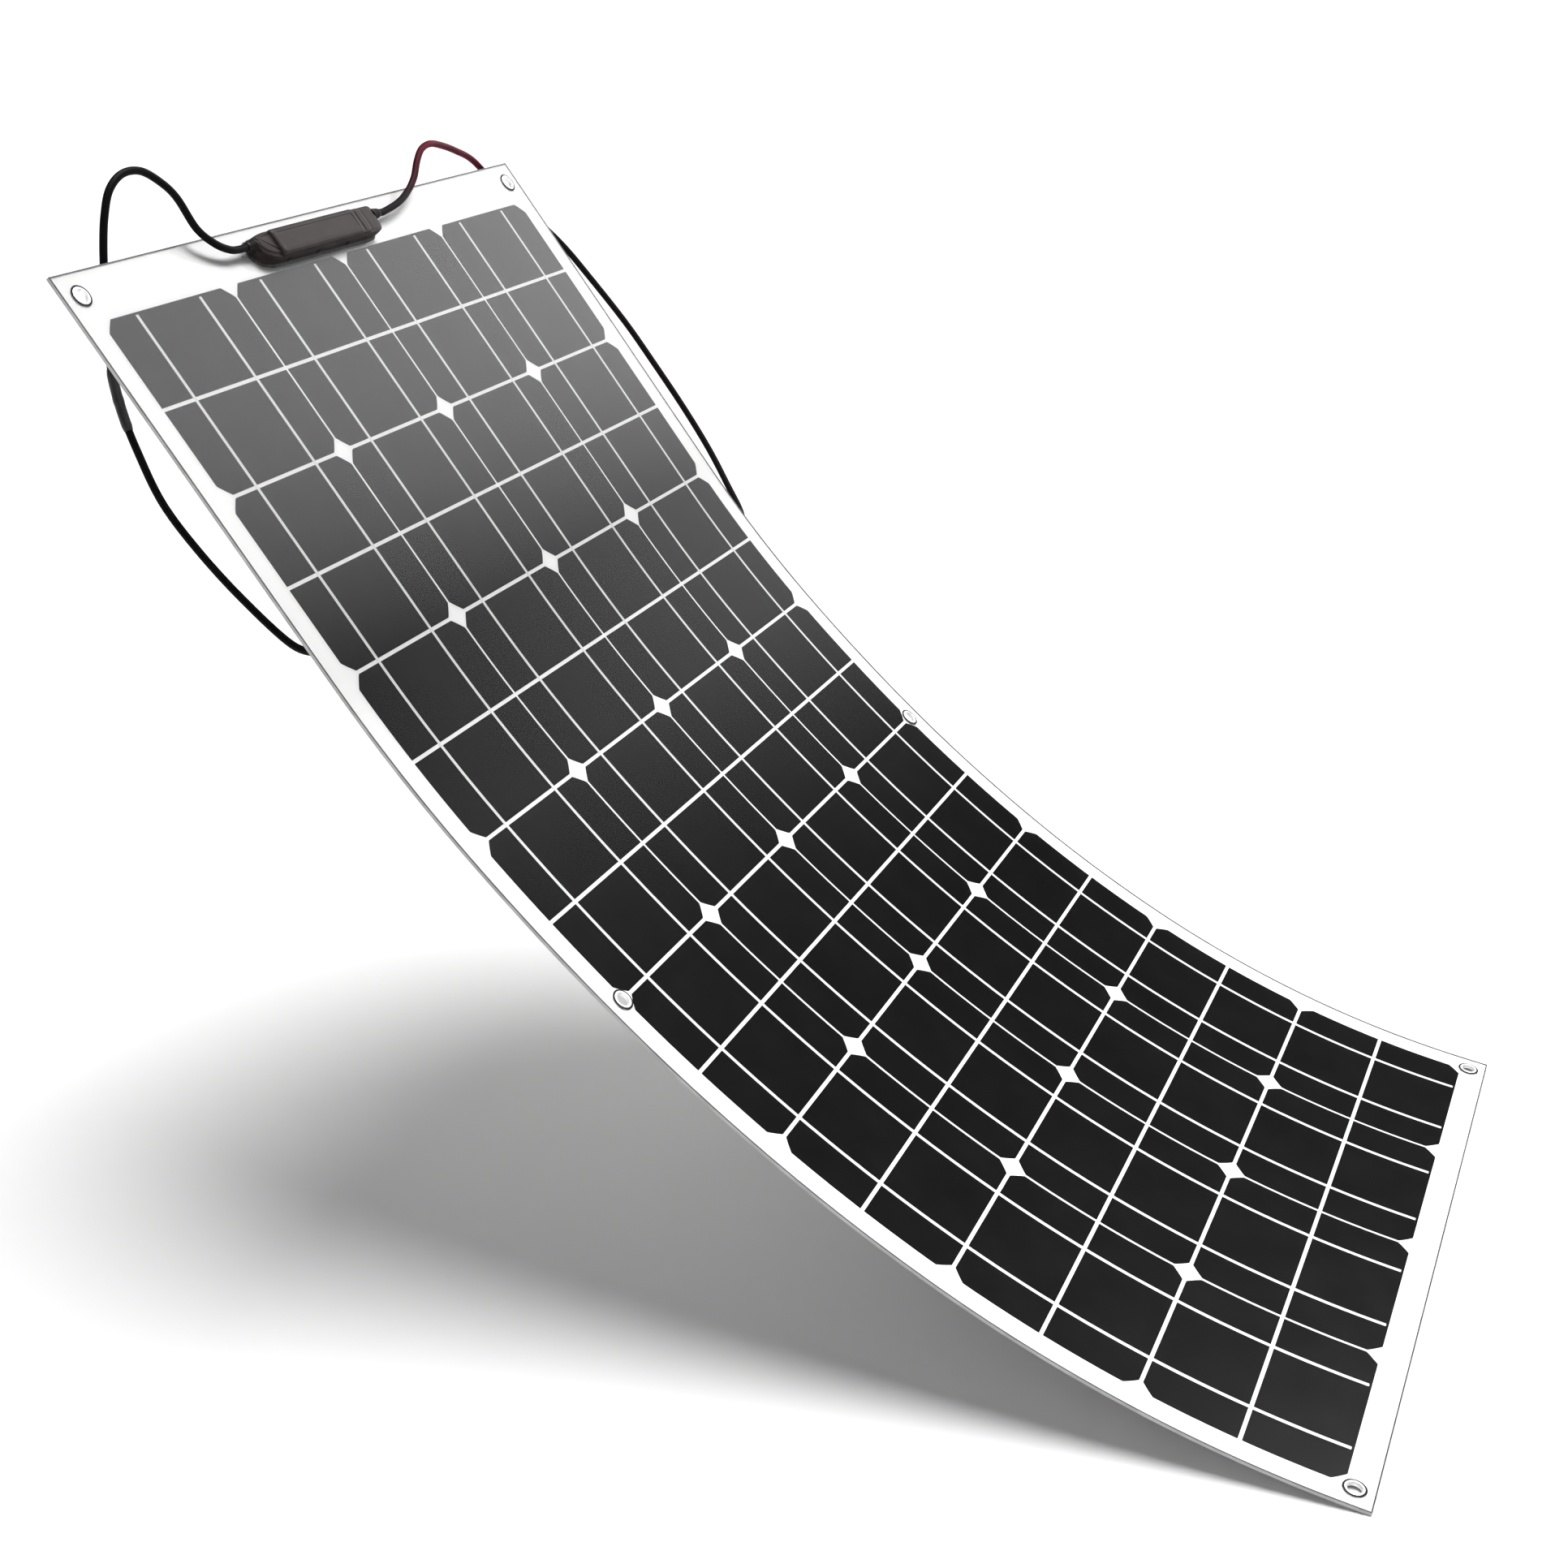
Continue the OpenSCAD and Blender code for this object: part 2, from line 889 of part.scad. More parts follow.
module plug_nut_neg() {
    color(black_rubber)
        neg_plug_place()
            plug_nut();
}

module plug_body_pos() {
    color(black_rubber)
        pos_plug_place()
            plug_body(false);
}

module plug_nut_pos() {
    color(black_rubber)
        pos_plug_place()
            plug_nut();
}

// Metal contacts standing in the mouths of the two connectors.
contact_radius = 1.6;
contact_length = 13;
module plug_contacts() {
    color(steel) {
        neg_plug_place()
            translate([0, 0, nut_length + plug_length - plug_well])
                cylinder(r = contact_radius, h = contact_length, $fn = 32);
        pos_plug_place()
            translate([0, 0, nut_length + plug_length - plug_well])
                cylinder(r = contact_radius + 1, h = contact_length, $fn = 32);
    }
}

lead_pad = 18;
module saddle_neg() {
    color(black_rubber)
        in_bay(raised)
            translate([neg_clip[0], neg_clip[1] - bay_start[raised], 0])
                saddle(lead_radius, stow, lead_pad);
}

module saddle_pos() {
    color(black_rubber)
        in_bay(raised)
            translate([pos_clip[0], pos_clip[1] - bay_start[raised], 0])
                saddle(lead_radius, stow, lead_pad);
}

plug_pad = 30;
plug_grip = nut_length + plug_collar / 2;
module saddle_plug_neg() {
    color(black_rubber)
        in_bay(raised)
            translate([neg_plug_x + plug_grip, neg_plug_up - bay_start[raised], 0])
                rotate([0, 0, 90])
                    saddle(plug_radius, plug_stow, plug_pad);
}

module saddle_plug_pos() {
    color(black_rubber)
        in_bay(raised)
            translate([pos_plug_x - plug_grip, pos_plug_up - bay_start[raised], 0])
                rotate([0, 0, 90])
                    saddle(plug_radius, plug_stow, plug_pad);
}

rear_sheet_low_end();
bond_fill_low_end();
cells_low_end();
ribbons_low_end();
front_film_low_end();
rear_sheet_bend_1();
bond_fill_bend_1();
cells_bend_1();
ribbons_bend_1();
front_film_bend_1();
rear_sheet_bend_2();
bond_fill_bend_2();
cells_bend_2();
ribbons_bend_2();
front_film_bend_2();
rear_sheet_bend_3();
bond_fill_bend_3();
cells_bend_3();
ribbons_bend_3();
front_film_bend_3();
rear_sheet_bend_4();
bond_fill_bend_4();
cells_bend_4();
ribbons_bend_4();
front_film_bend_4();
rear_sheet_bend_5();
bond_fill_bend_5();
cells_bend_5();
ribbons_bend_5();
front_film_bend_5();
rear_sheet_raised_end();
bond_fill_raised_end();
cells_raised_end();
ribbons_raised_end();
front_film_raised_end();
eyelet_low_left();
eyelet_low_right();
eyelet_mid_left();
eyelet_mid_right();
eyelet_top_left();
eyelet_top_right();
box_bed();
box_base();
box_lid();
box_terminals();
box_diode();
boot_neg();
boot_pos();
lead_neg();
lead_pos();
sleeve_neg();
plug_body_neg();
plug_nut_neg();
plug_body_pos();
plug_nut_pos();
plug_contacts();
saddle_neg();
saddle_pos();
saddle_plug_neg();
saddle_plug_pos();
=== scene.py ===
import math

import bmesh
import bpy
import numpy as np
from mathutils import Matrix, Vector


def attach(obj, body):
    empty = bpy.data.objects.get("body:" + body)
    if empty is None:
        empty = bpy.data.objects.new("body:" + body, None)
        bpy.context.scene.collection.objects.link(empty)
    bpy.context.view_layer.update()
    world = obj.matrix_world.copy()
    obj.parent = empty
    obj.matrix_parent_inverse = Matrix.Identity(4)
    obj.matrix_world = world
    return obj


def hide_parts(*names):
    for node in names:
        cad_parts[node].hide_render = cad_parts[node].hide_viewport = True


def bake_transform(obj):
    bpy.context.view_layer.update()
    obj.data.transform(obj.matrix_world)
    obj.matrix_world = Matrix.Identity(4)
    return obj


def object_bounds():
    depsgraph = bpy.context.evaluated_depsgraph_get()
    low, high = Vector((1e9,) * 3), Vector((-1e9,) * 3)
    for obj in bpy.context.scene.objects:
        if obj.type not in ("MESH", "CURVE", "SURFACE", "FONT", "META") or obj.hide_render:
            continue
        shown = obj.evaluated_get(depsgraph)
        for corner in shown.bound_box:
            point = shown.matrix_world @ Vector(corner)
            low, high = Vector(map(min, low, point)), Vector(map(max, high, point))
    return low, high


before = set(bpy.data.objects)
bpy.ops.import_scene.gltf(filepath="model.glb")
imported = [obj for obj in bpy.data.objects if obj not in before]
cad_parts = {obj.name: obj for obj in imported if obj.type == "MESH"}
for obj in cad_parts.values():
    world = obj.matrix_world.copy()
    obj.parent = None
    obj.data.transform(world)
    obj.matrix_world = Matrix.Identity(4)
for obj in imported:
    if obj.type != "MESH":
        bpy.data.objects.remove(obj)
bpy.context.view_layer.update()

MM = 0.001

# ---------------------------------------------------------------- shape of the sheet
# Lengths in mm: x across, s up the sheet from the first cells, n off the front face.
HALF_WIDTH = 270.0
LOW_EDGE, TOP_EDGE = -17.0, 1049.0
THICK = 2.5
PITCH = 127.0
BODIES = ["low_end", "bend_1", "bend_2", "bend_3", "bend_4", "bend_5", "raised_end"]
# slope of the sheet at places along it, summed up into a curve whose rear face starts at the origin
SLOPE_S = [-38, 0, 127, 254, 381, 508, 635, 762, 1060]
LOW_DEG, RAISED_DEG = 8, 52.5
SLOPE_DEG = [7, LOW_DEG, 18, 27, 34, 40, 45, RAISED_DEG, RAISED_DEG]
RAISED_S = 762.0
STEP = 0.5
S_AXIS = np.arange(SLOPE_S[0], SLOPE_S[-1] + STEP, STEP)
ANGLE = np.radians(np.interp(S_AXIS, SLOPE_S, SLOPE_DEG))
MID = (ANGLE[1:] + ANGLE[:-1]) / 2
CURVE_Y = np.concatenate([[0], np.cumsum(np.cos(MID) * STEP)])
CURVE_Z = np.concatenate([[0], np.cumsum(np.sin(MID) * STEP)])
START = math.radians(LOW_DEG)
CURVE_Y += -THICK * math.sin(START) - np.interp(0, S_AXIS, CURVE_Y)
CURVE_Z += THICK * math.cos(START) - np.interp(0, S_AXIS, CURVE_Z)


def at(x, s, n=0.0):
    """A point of the smooth sheet in metres."""
    a = float(np.interp(s, S_AXIS, ANGLE))
    y = float(np.interp(s, S_AXIS, CURVE_Y))
    z = float(np.interp(s, S_AXIS, CURVE_Z))
    return Vector((x, y - n * math.sin(a), z + n * math.cos(a))) * MM


# the last hinge, where the CAD's flat raised bay starts
FLAT_S, FLAT_Y, FLAT_Z = 698.5, 588.854, 350.669
FLAT_COS, FLAT_SIN = math.cos(math.radians(RAISED_DEG)), math.sin(math.radians(RAISED_DEG))


def raised(x, s, n):
    """A point in the plane of the raised end's CAD bay, in mm."""
    u = s - FLAT_S
    return [x, FLAT_Y + u * FLAT_COS - n * FLAT_SIN, FLAT_Z + u * FLAT_SIN + n * FLAT_COS]


def raised_frame(x, s, n):
    """Matrix whose X runs across, Y up the sheet and Z off the face, at a point of the raised end."""
    m = Matrix(((1, 0, 0), (0, FLAT_COS, -FLAT_SIN), (0, FLAT_SIN, FLAT_COS))).to_4x4()
    m.translation = Vector(raised(x, s, n)) * MM
    return m


def sheet_frame(x, s, n):
    """The same on the smooth sheet."""
    a = float(np.interp(s, S_AXIS, ANGLE))
    c, d = math.cos(a), math.sin(a)
    m = Matrix(((1, 0, 0), (0, c, -d), (0, d, c))).to_4x4()
    m.translation = at(x, s, n)
    return m


# where the leads leave their boots: across for each one, up the sheet, off the face
NEG_EXIT, POS_EXIT = -98, 59
LEAD_S, LEAD_N = 1034, 6.5

# ---------------------------------------------------------------- camera
camera_data = bpy.data.cameras.new("camera")
camera = bpy.data.objects.new("camera", camera_data)
bpy.context.scene.collection.objects.link(camera)
camera_data.sensor_width = 36.0
camera_data.lens = 51.44944
camera_data.clip_start = 0.05
camera_data.clip_end = 100.0
CAM_RIGHT = Vector((0.38585, -0.92256, 0.0))
CAM_UP = Vector((0.3586, 0.1500, 0.9214))
CAM_BACK = Vector((-0.8500, -0.3555, 0.3887))
CAM_PLACE = Vector((-1.3173, -0.0981, 0.8640))
camera_turn = Matrix((CAM_RIGHT, CAM_UP, CAM_BACK)).transposed().to_4x4()
camera.matrix_world = Matrix.Translation(CAM_PLACE) @ camera_turn
bpy.context.scene.camera = camera


# ---------------------------------------------------------------- materials
class Nodes:
    """A short way to write the nodes of a material, a lamp or the world."""

    def __init__(self, owner, output="ShaderNodeOutputMaterial"):
        self.owner = owner
        owner.use_nodes = True
        self.tree = owner.node_tree
        self.tree.nodes.clear()
        self.out = self.add(output)

    def add(self, kind, **settings):
        node = self.tree.nodes.new(kind)
        for key, value in settings.items():
            setattr(node, key, value)
        return node

    def link(self, source, target):
        self.tree.links.new(source, target)

    def shader(self, **values):
        node = self.add("ShaderNodeBsdfPrincipled")
        for key, value in values.items():
            node.inputs[key.replace("_", " ")].default_value = value
        self.link(node.outputs[0], self.out.inputs[0])
        return node

    def coords(self, kind="Object"):
        return self.add("ShaderNodeTexCoord").outputs[kind]

    def flat(self):
        """The place on the flat sheet that each vertex carries."""
        return self.add("ShaderNodeAttribute", attribute_name="st").outputs["Vector"]

    def split(self, vector):
        node = self.add("ShaderNodeSeparateXYZ")
        self.link(vector, node.inputs[0])
        return node.outputs

    def scaled(self, vector, scale):
        node = self.add("ShaderNodeMapping")
        node.inputs["Scale"].default_value = scale
        self.link(vector, node.inputs["Vector"])
        return node.outputs[0]

    def noise(self, vector, scale, detail=3.0, rough=0.5):
        node = self.add("ShaderNodeTexNoise")
        node.inputs["Scale"].default_value = scale
        node.inputs["Detail"].default_value = detail
        node.inputs["Roughness"].default_value = rough
        self.link(vector, node.inputs["Vector"])
        return node.outputs["Fac"]

    def ramp(self, value, stops):
        node = self.add("ShaderNodeValToRGB")
        ramp = node.color_ramp
        while len(ramp.elements) < len(stops):
            ramp.elements.new(0.5)
        for element, (place, colour) in zip(ramp.elements, stops):
            element.position = place
            element.color = (*colour, 1)
        self.link(value, node.inputs[0])
        return node.outputs[0]

    def spread(self, value, low, high, start=0.0, end=1.0, curve="LINEAR"):
        """Maps a value that runs from start to end onto low to high."""
        node = self.add("ShaderNodeMapRange", interpolation_type=curve)
        node.inputs["From Min"].default_value = start
        node.inputs["From Max"].default_value = end
        node.inputs["To Min"].default_value = low
        node.inputs["To Max"].default_value = high
        self.link(value, node.inputs["Value"])
        return node.outputs[0]

    def math(self, operation, *values):
        node = self.add("ShaderNodeMath", operation=operation)
        for i, value in enumerate(values):
            if isinstance(value, (int, float)):
                node.inputs[i].default_value = value
            else:
                self.link(value, node.inputs[i])
        return node.outputs[0]

    def mix(self, factor, a, b):
        """Mixes two colours, each a tuple or a socket; 6, 7 and 2 are the node's colour sockets."""
        node = self.add("ShaderNodeMix", data_type="RGBA")
        self.link(factor, node.inputs[0])
        for i, value in ((6, a), (7, b)):
            if isinstance(value, tuple):
                node.inputs[i].default_value = (*value, 1)
            else:
                self.link(value, node.inputs[i])
        return node.outputs[2]

    def bump(self, shader, height, strength, distance):
        node = self.add("ShaderNodeBump")
        node.inputs["Strength"].default_value = strength
        node.inputs["Distance"].default_value = distance
        self.link(height, node.inputs["Height"])
        self.link(node.outputs[0], shader.inputs["Normal"])


def make_white():
    n = Nodes(bpy.data.materials.new("white_sheet"))
    p = n.coords()
    s = n.shader(Roughness=0.42, Specular_IOR_Level=0.5)
    tone = n.ramp(n.noise(p, 9, 4), [(0.3, (0.94, 0.94, 0.935)), (0.7, (0.97, 0.97, 0.965))])
    n.link(tone, s.inputs["Base Color"])
    n.link(n.spread(n.noise(p, 40, 2), 0.36, 0.48), s.inputs["Roughness"])
    weave = n.math("ADD", n.noise(n.scaled(p, (900, 260, 260)), 1.0, 2),
                   n.noise(n.scaled(p, (260, 900, 900)), 1.0, 2))
    n.bump(s, weave, 0.06, 0.0002)
    return n.owner


def make_rear():
    n = Nodes(bpy.data.materials.new("rear_sheet"))
    p = n.coords()
    s = n.shader(Roughness=0.55)
    tone = n.ramp(n.noise(p, 14, 4), [(0.3, (0.84, 0.84, 0.83)), (0.7, (0.90, 0.90, 0.89))])
    n.link(tone, s.inputs["Base Color"])
    n.link(n.spread(n.noise(p, 60, 2), 0.5, 0.66), s.inputs["Roughness"])
    x, s_up, _ = n.split(n.flat())
    across = n.math("SINE", n.math("MULTIPLY", x, 3000.0))
    along = n.math("SINE", n.math("MULTIPLY", s_up, 3000.0))
    n.bump(s, n.math("MULTIPLY", across, along), 0.25, 0.0001)
    return n.owner


def make_rim(name, dark, light):
    n = Nodes(bpy.data.materials.new(name))
    p = n.coords()
    s = n.shader(Roughness=0.6)
    tone = n.ramp(n.noise(n.scaled(p, (400, 60, 60)), 1.0, 3), [(0.3, dark), (0.7, light)])
    n.link(tone, s.inputs["Base Color"])
    n.link(n.spread(n.noise(p, 200, 2), 0.5, 0.7), s.inputs["Roughness"])
    n.bump(s, n.noise(n.scaled(p, (1500, 200, 200)), 1.0, 2), 0.2, 0.0001)
    return n.owner


def make_silicon():
    n = Nodes(bpy.data.materials.new("silicon"))
    s = n.shader(Roughness=0.6, Specular_IOR_Level=0.03)
    cloud = n.noise(n.flat(), 16, 3)
    base = n.ramp(cloud, [(0.3, (0.0012, 0.0012, 0.0014)), (0.7, (0.0022, 0.0022, 0.0024))])
    n.link(base, s.inputs["Base Color"])
    n.link(n.spread(cloud, 0.52, 0.68), s.inputs["Roughness"])
    return n.owner


def make_tinned():
    n = Nodes(bpy.data.materials.new("tinned_copper"))
    s = n.shader(Metallic=0.25, Roughness=0.5)
    streak = n.noise(n.scaled(n.flat(), (1800, 60, 60)), 1.0, 3)
    tone = n.ramp(streak, [(0.3, (0.80, 0.80, 0.80)), (0.7, (0.90, 0.90, 0.90))])
    n.link(tone, s.inputs["Base Color"])
    n.link(n.spread(streak, 0.42, 0.6), s.inputs["Roughness"])
    n.bump(s, streak, 0.1, 0.00004)
    return n.owner


def make_film():
    n = Nodes(bpy.data.materials.new("clear_film"))
    fresnel = n.add("ShaderNodeFresnel")
    fresnel.inputs["IOR"].default_value = 1.5
    clear = n.add("ShaderNodeBsdfTransparent")
    gloss = n.add("ShaderNodeBsdfGlossy")
    n.link(n.spread(n.noise(n.flat(), 30, 2), 0.16, 0.22), gloss.inputs["Roughness"])
    mix = n.add("ShaderNodeMixShader")
    n.link(fresnel.outputs[0], mix.inputs[0])
    n.link(clear.outputs[0], mix.inputs[1])
    n.link(gloss.outputs[0], mix.inputs[2])
    n.link(mix.outputs[0], n.out.inputs[0])
    return n.owner


def make_steel():
    n = Nodes(bpy.data.materials.new("eyelet_steel"))
    p = n.coords()
    s = n.shader(Metallic=0.4, Roughness=0.35)
    marks = n.noise(n.scaled(p, (300, 300, 2000)), 1.0, 3)
    n.link(n.ramp(marks, [(0.3, (0.90, 0.90, 0.91)), (0.7, (0.97, 0.97, 0.97))]), s.inputs["Base Color"])
    n.link(n.spread(marks, 0.24, 0.42), s.inputs["Roughness"])
    n.bump(s, marks, 0.08, 0.00005)
    return n.owner


def make_plastic(name, dark, light, rough, grain, strength, edge=None, gloss=0.3):
    """Moulded plastic or rubber: fine spark-eroded grain, faint cloudiness, worn edges when asked."""
    n = Nodes(bpy.data.materials.new(name))
    p = n.coords()
    s = n.shader(Roughness=rough, Specular_IOR_Level=gloss)
    colour = n.ramp(n.noise(p, 55, 4), [(0.3, dark), (0.7, light)])
    if edge:
        geometry = n.add("ShaderNodeNewGeometry")
        worn = n.math("MULTIPLY", n.spread(geometry.outputs["Pointiness"], 0, 1, 0.52, 0.62),
                      n.spread(n.noise(p, 300, 3), 0, 1, 0.4, 0.65))
        colour = n.mix(worn, colour, edge)
    n.link(colour, s.inputs["Base Color"])
    fine = n.noise(p, grain, 3, 0.6)
    n.link(n.spread(fine, rough - 0.08, rough + 0.1), s.inputs["Roughness"])
    n.bump(s, fine, strength, 0.0002)
    return n.owner


def make_red_lead():
    """Dark red, but black near the box and past the arch, as distances in metres from the boot."""
    n = Nodes(bpy.data.materials.new("lead_red"))
    p = n.coords()
    s = n.shader(Roughness=0.5, Specular_IOR_Level=0.05)
    away = n.add("ShaderNodeVectorMath", operation="DISTANCE")
    away.inputs[1].default_value = Vector(raised(POS_EXIT, LEAD_S, LEAD_N)) * MM
    n.link(p, away.inputs[0])
    shade = n.math("MULTIPLY", n.spread(away.outputs["Value"], 0, 1, 0.040, 0.100),
                   n.spread(away.outputs["Value"], 1, 0, 0.165, 0.215))
    red = n.ramp(n.noise(p, 90, 3), [(0.3, (0.055, 0.0010, 0.0075)), (0.7, (0.085, 0.0020, 0.013))])
    n.link(n.mix(shade, (0.006, 0.004, 0.005), red), s.inputs["Base Color"])
    fine = n.noise(p, 1800, 2)
    n.link(n.spread(fine, 0.45, 0.58), s.inputs["Roughness"])
    n.bump(s, fine, 0.08, 0.0001)
    return n.owner


def make_floor():
    n = Nodes(bpy.data.materials.new("floor"))
    p = n.coords()
    s = n.shader(Roughness=0.9, Specular_IOR_Level=0.1)
    n.link(n.ramp(n.noise(p, 1.5, 2), [(0.3, (0.675, 0.675, 0.675)), (0.7, (0.69, 0.69, 0.69))]),
           s.inputs["Base Color"])
    return n.owner


WHITE = make_white()
REAR = make_rear()
# painted shade: the dark rim colour draws the shaded outline along the sheet's edges
EDGE_SHADE_LINE = make_rim("cut_edge", (0.045, 0.045, 0.045), (0.09, 0.09, 0.09))
WALL = make_rim("cut_edge_wall", (0.40, 0.40, 0.40), (0.55, 0.55, 0.55))
# painted shadow: the near-black low rim stands for the contact shadow where the low edge meets the floor
LOW_RIM_SHADOW = make_rim("low_edge_painted_shadow", (0.012, 0.012, 0.012), (0.03, 0.03, 0.03))
SILICON = make_silicon()
TINNED = make_tinned()
FILM = make_film()
STEEL = make_steel()
BOX = make_plastic("box_plastic", (0.012, 0.0075, 0.0075), (0.021, 0.013, 0.013), 0.5, 1500, 0.2,
                   edge=(0.05, 0.036, 0.036), gloss=0.2)
GLUE = make_plastic("adhesive", (0.012, 0.012, 0.012), (0.022, 0.022, 0.022), 0.5, 500, 0.3)
RUBBER = make_plastic("boot_rubber", (0.006, 0.004, 0.004), (0.011, 0.008, 0.008), 0.5, 1300, 0.15,
                      gloss=0.15)
BLACK_LEAD = make_plastic("lead_black", (0.0015, 0.0015, 0.0015), (0.003, 0.003, 0.003), 0.5, 1800, 0.08,
                          gloss=0.06)
RED_LEAD = make_red_lead()
PLUG = make_plastic("plug_plastic", (0.012, 0.012, 0.013), (0.02, 0.02, 0.021), 0.45, 1600, 0.2,
                    edge=(0.06, 0.06, 0.06))
SADDLE = make_plastic("saddle_plastic", (0.014, 0.014, 0.014), (0.022, 0.022, 0.022), 0.5, 1500, 0.2)
MARKER = make_plastic("marker_sleeve", (0.010, 0.010, 0.010), (0.02, 0.02, 0.02), 0.3, 900, 0.15)
# painted shade: a thin dark ring under each eyelet flange draws the shade line round it
FLANGE_SHADE = make_plastic("flange_shade_ring", (0.010, 0.010, 0.010), (0.02, 0.02, 0.02), 0.6, 1500, 0.2, gloss=0.1)
FLOOR = make_floor()


# ---------------------------------------------------------------- mesh helpers
def piece(name, vertices, faces, material, st=None, sharp=35.0):
    """A mesh piece from lists; st gives each vertex its place on the flat sheet."""
    mesh = bpy.data.meshes.new(name)
    mesh.from_pydata([tuple(v) for v in vertices], [], faces)
    mesh.validate()
    obj = bpy.data.objects.new(name, mesh)
    bpy.context.scene.collection.objects.link(obj)
    for one in material if isinstance(material, (list, tuple)) else [material]:
        mesh.materials.append(one)
    if st is not None:
        layer = mesh.attributes.new("st", "FLOAT_VECTOR", "POINT")
        layer.data.foreach_set("vector", np.array(st, np.float32).ravel())
    finish_mesh(obj, sharp)
    return obj


def finish_mesh(obj, sharp=35.0):
    """Faces outwards, or upwards on an open sheet, smooth but for edges over a sharp angle."""
    work = bmesh.new()
    work.from_mesh(obj.data)
    bmesh.ops.recalc_face_normals(work, faces=work.faces)
    if any(len(edge.link_faces) == 1 for edge in work.edges) and sum(f.normal.z for f in work.faces) < 0:
        bmesh.ops.reverse_faces(work, faces=work.faces)
    for face in work.faces:
        face.smooth = True
    for edge in work.edges:
        if len(edge.link_faces) == 2 and edge.calc_face_angle(0) > math.radians(sharp):
            edge.smooth = False
    work.to_mesh(obj.data)
    work.free()


def turned(name, profile, place, material, count=48, closed=False, sharp=35.0):
    """A profile of (radius, height) in mm turned about its Z, then placed by a matrix in metres."""
    vertices, faces = [], []
    rows = len(profile)
    for i in range(count):
        a = 2 * math.pi * i / count
        for r, h in profile:
            vertices.append(place @ (Vector((r * math.cos(a), r * math.sin(a), h)) * MM))
    for i in range(count):
        j = (i + 1) % count
        for k in range(rows if closed else rows - 1):
            l = (k + 1) % rows
            faces.append((i * rows + k, j * rows + k, j * rows + l, i * rows + l))
    if not closed:
        for k in (0, rows - 1):
            if profile[k][0] > 0.01:
                faces.append(tuple(i * rows + k for i in range(count)))
    obj = piece(name, vertices, faces, material, sharp=sharp)
    work = bmesh.new()
    work.from_mesh(obj.data)
    bmesh.ops.remove_doubles(work, verts=work.verts, dist=1e-6)
    bmesh.ops.recalc_face_normals(work, faces=work.faces)
    work.to_mesh(obj.data)
    work.free()
    return obj


def tube_faces(rings, count):
    """Faces of a tube through rings of vertices, with its two ends."""
    faces = []
    for i in range(rings - 1):
        for k in range(count):
            l = (k + 1) % count
            faces.append((i * count + k, i * count + l, (i + 1) * count + l, (i + 1) * count + k))
    faces.append(tuple(range(count)))
    faces.append(tuple((rings - 1) * count + k for k in range(count)))
    return faces


def block(name, lows, highs, place, material, bevel):
    """A box with rounded edges, mm, placed by a matrix."""
    work = bmesh.new()
    bmesh.ops.create_cube(work, size=1.0)
    middle = [(a + b) / 2 for a, b in zip(lows, highs)]
    size = [b - a for a, b in zip(lows, highs)]
    for v in work.verts:
        for i in range(3):
            v.co[i] = middle[i] + v.co[i] * size[i]
    bmesh.ops.bevel(work, geom=list(work.edges), offset=bevel, segments=3, profile=0.6,
                    affect="EDGES", clamp_overlap=True)
    for v in work.verts:
        v.co = place @ (v.co * MM)
    mesh = bpy.data.meshes.new(name)
    work.to_mesh(mesh)
    work.free()
    mesh.materials.append(material)
    obj = bpy.data.objects.new(name, mesh)
    bpy.context.scene.collection.objects.link(obj)
    finish_mesh(obj)
    return obj


def joined(name, parts):
    """Joins pieces into one new object that keeps their materials."""
    work = bmesh.new()
    materials = []
    for part in parts:
        part.data.transform(part.matrix_world)
        first = len(work.faces)
        work.from_mesh(part.data)
        work.faces.ensure_lookup_table()
        index = []
        for one in part.data.materials:
            if one not in materials:
                materials.append(one)
            index.append(materials.index(one))
        for face in work.faces[first:]:
            face.material_index = index[face.material_index]
    mesh = bpy.data.meshes.new(name)
    work.to_mesh(mesh)
    work.free()
    for one in materials:
        mesh.materials.append(one)
    for part in parts:
        bpy.data.objects.remove(part, do_unlink=True)
    obj = bpy.data.objects.new(name, mesh)
    bpy.context.scene.collection.objects.link(obj)
    return obj


def sweep(name, line, radii, material, sides=24):
    """A round tube along a line of points in metres, with a radius in mm at each, closed at its ends."""
    line = [Vector(p) for p in line]
    vertices = []
    side = None
    for i, p in enumerate(line):
        t = (line[min(i + 1, len(line) - 1)] - line[max(i - 1, 0)]).normalized()
        side = t.orthogonal() if side is None else side - t * side.dot(t)
        side.normalize()
        other = t.cross(side)
        for k in range(sides):
            a = 2 * math.pi * k / sides
            vertices.append(p + (side * math.cos(a) + other * math.sin(a)) * radii[i] * MM)
    return piece(name, vertices, tube_faces(len(line), sides), material)


# ---------------------------------------------------------------- leads
LINE_STEPS = 8


def smooth_line(points):
    """A smooth line through points in mm, with steps between them, in metres."""
    p = np.array(points, float)
    out = []
    for i in range(len(p) - 1):
        a, b, c, d = p[max(i - 1, 0)], p[i], p[i + 1], p[min(i + 2, len(p) - 1)]
        for k in range(LINE_STEPS):
            t = k / LINE_STEPS
            out.append(0.5 * (2 * b + (c - a) * t + (2 * a - 5 * b + 4 * c - d) * t * t
                              + (3 * b - a - 3 * c + d) * t ** 3))
    out.append(p[-1])
    return np.array(out) * MM


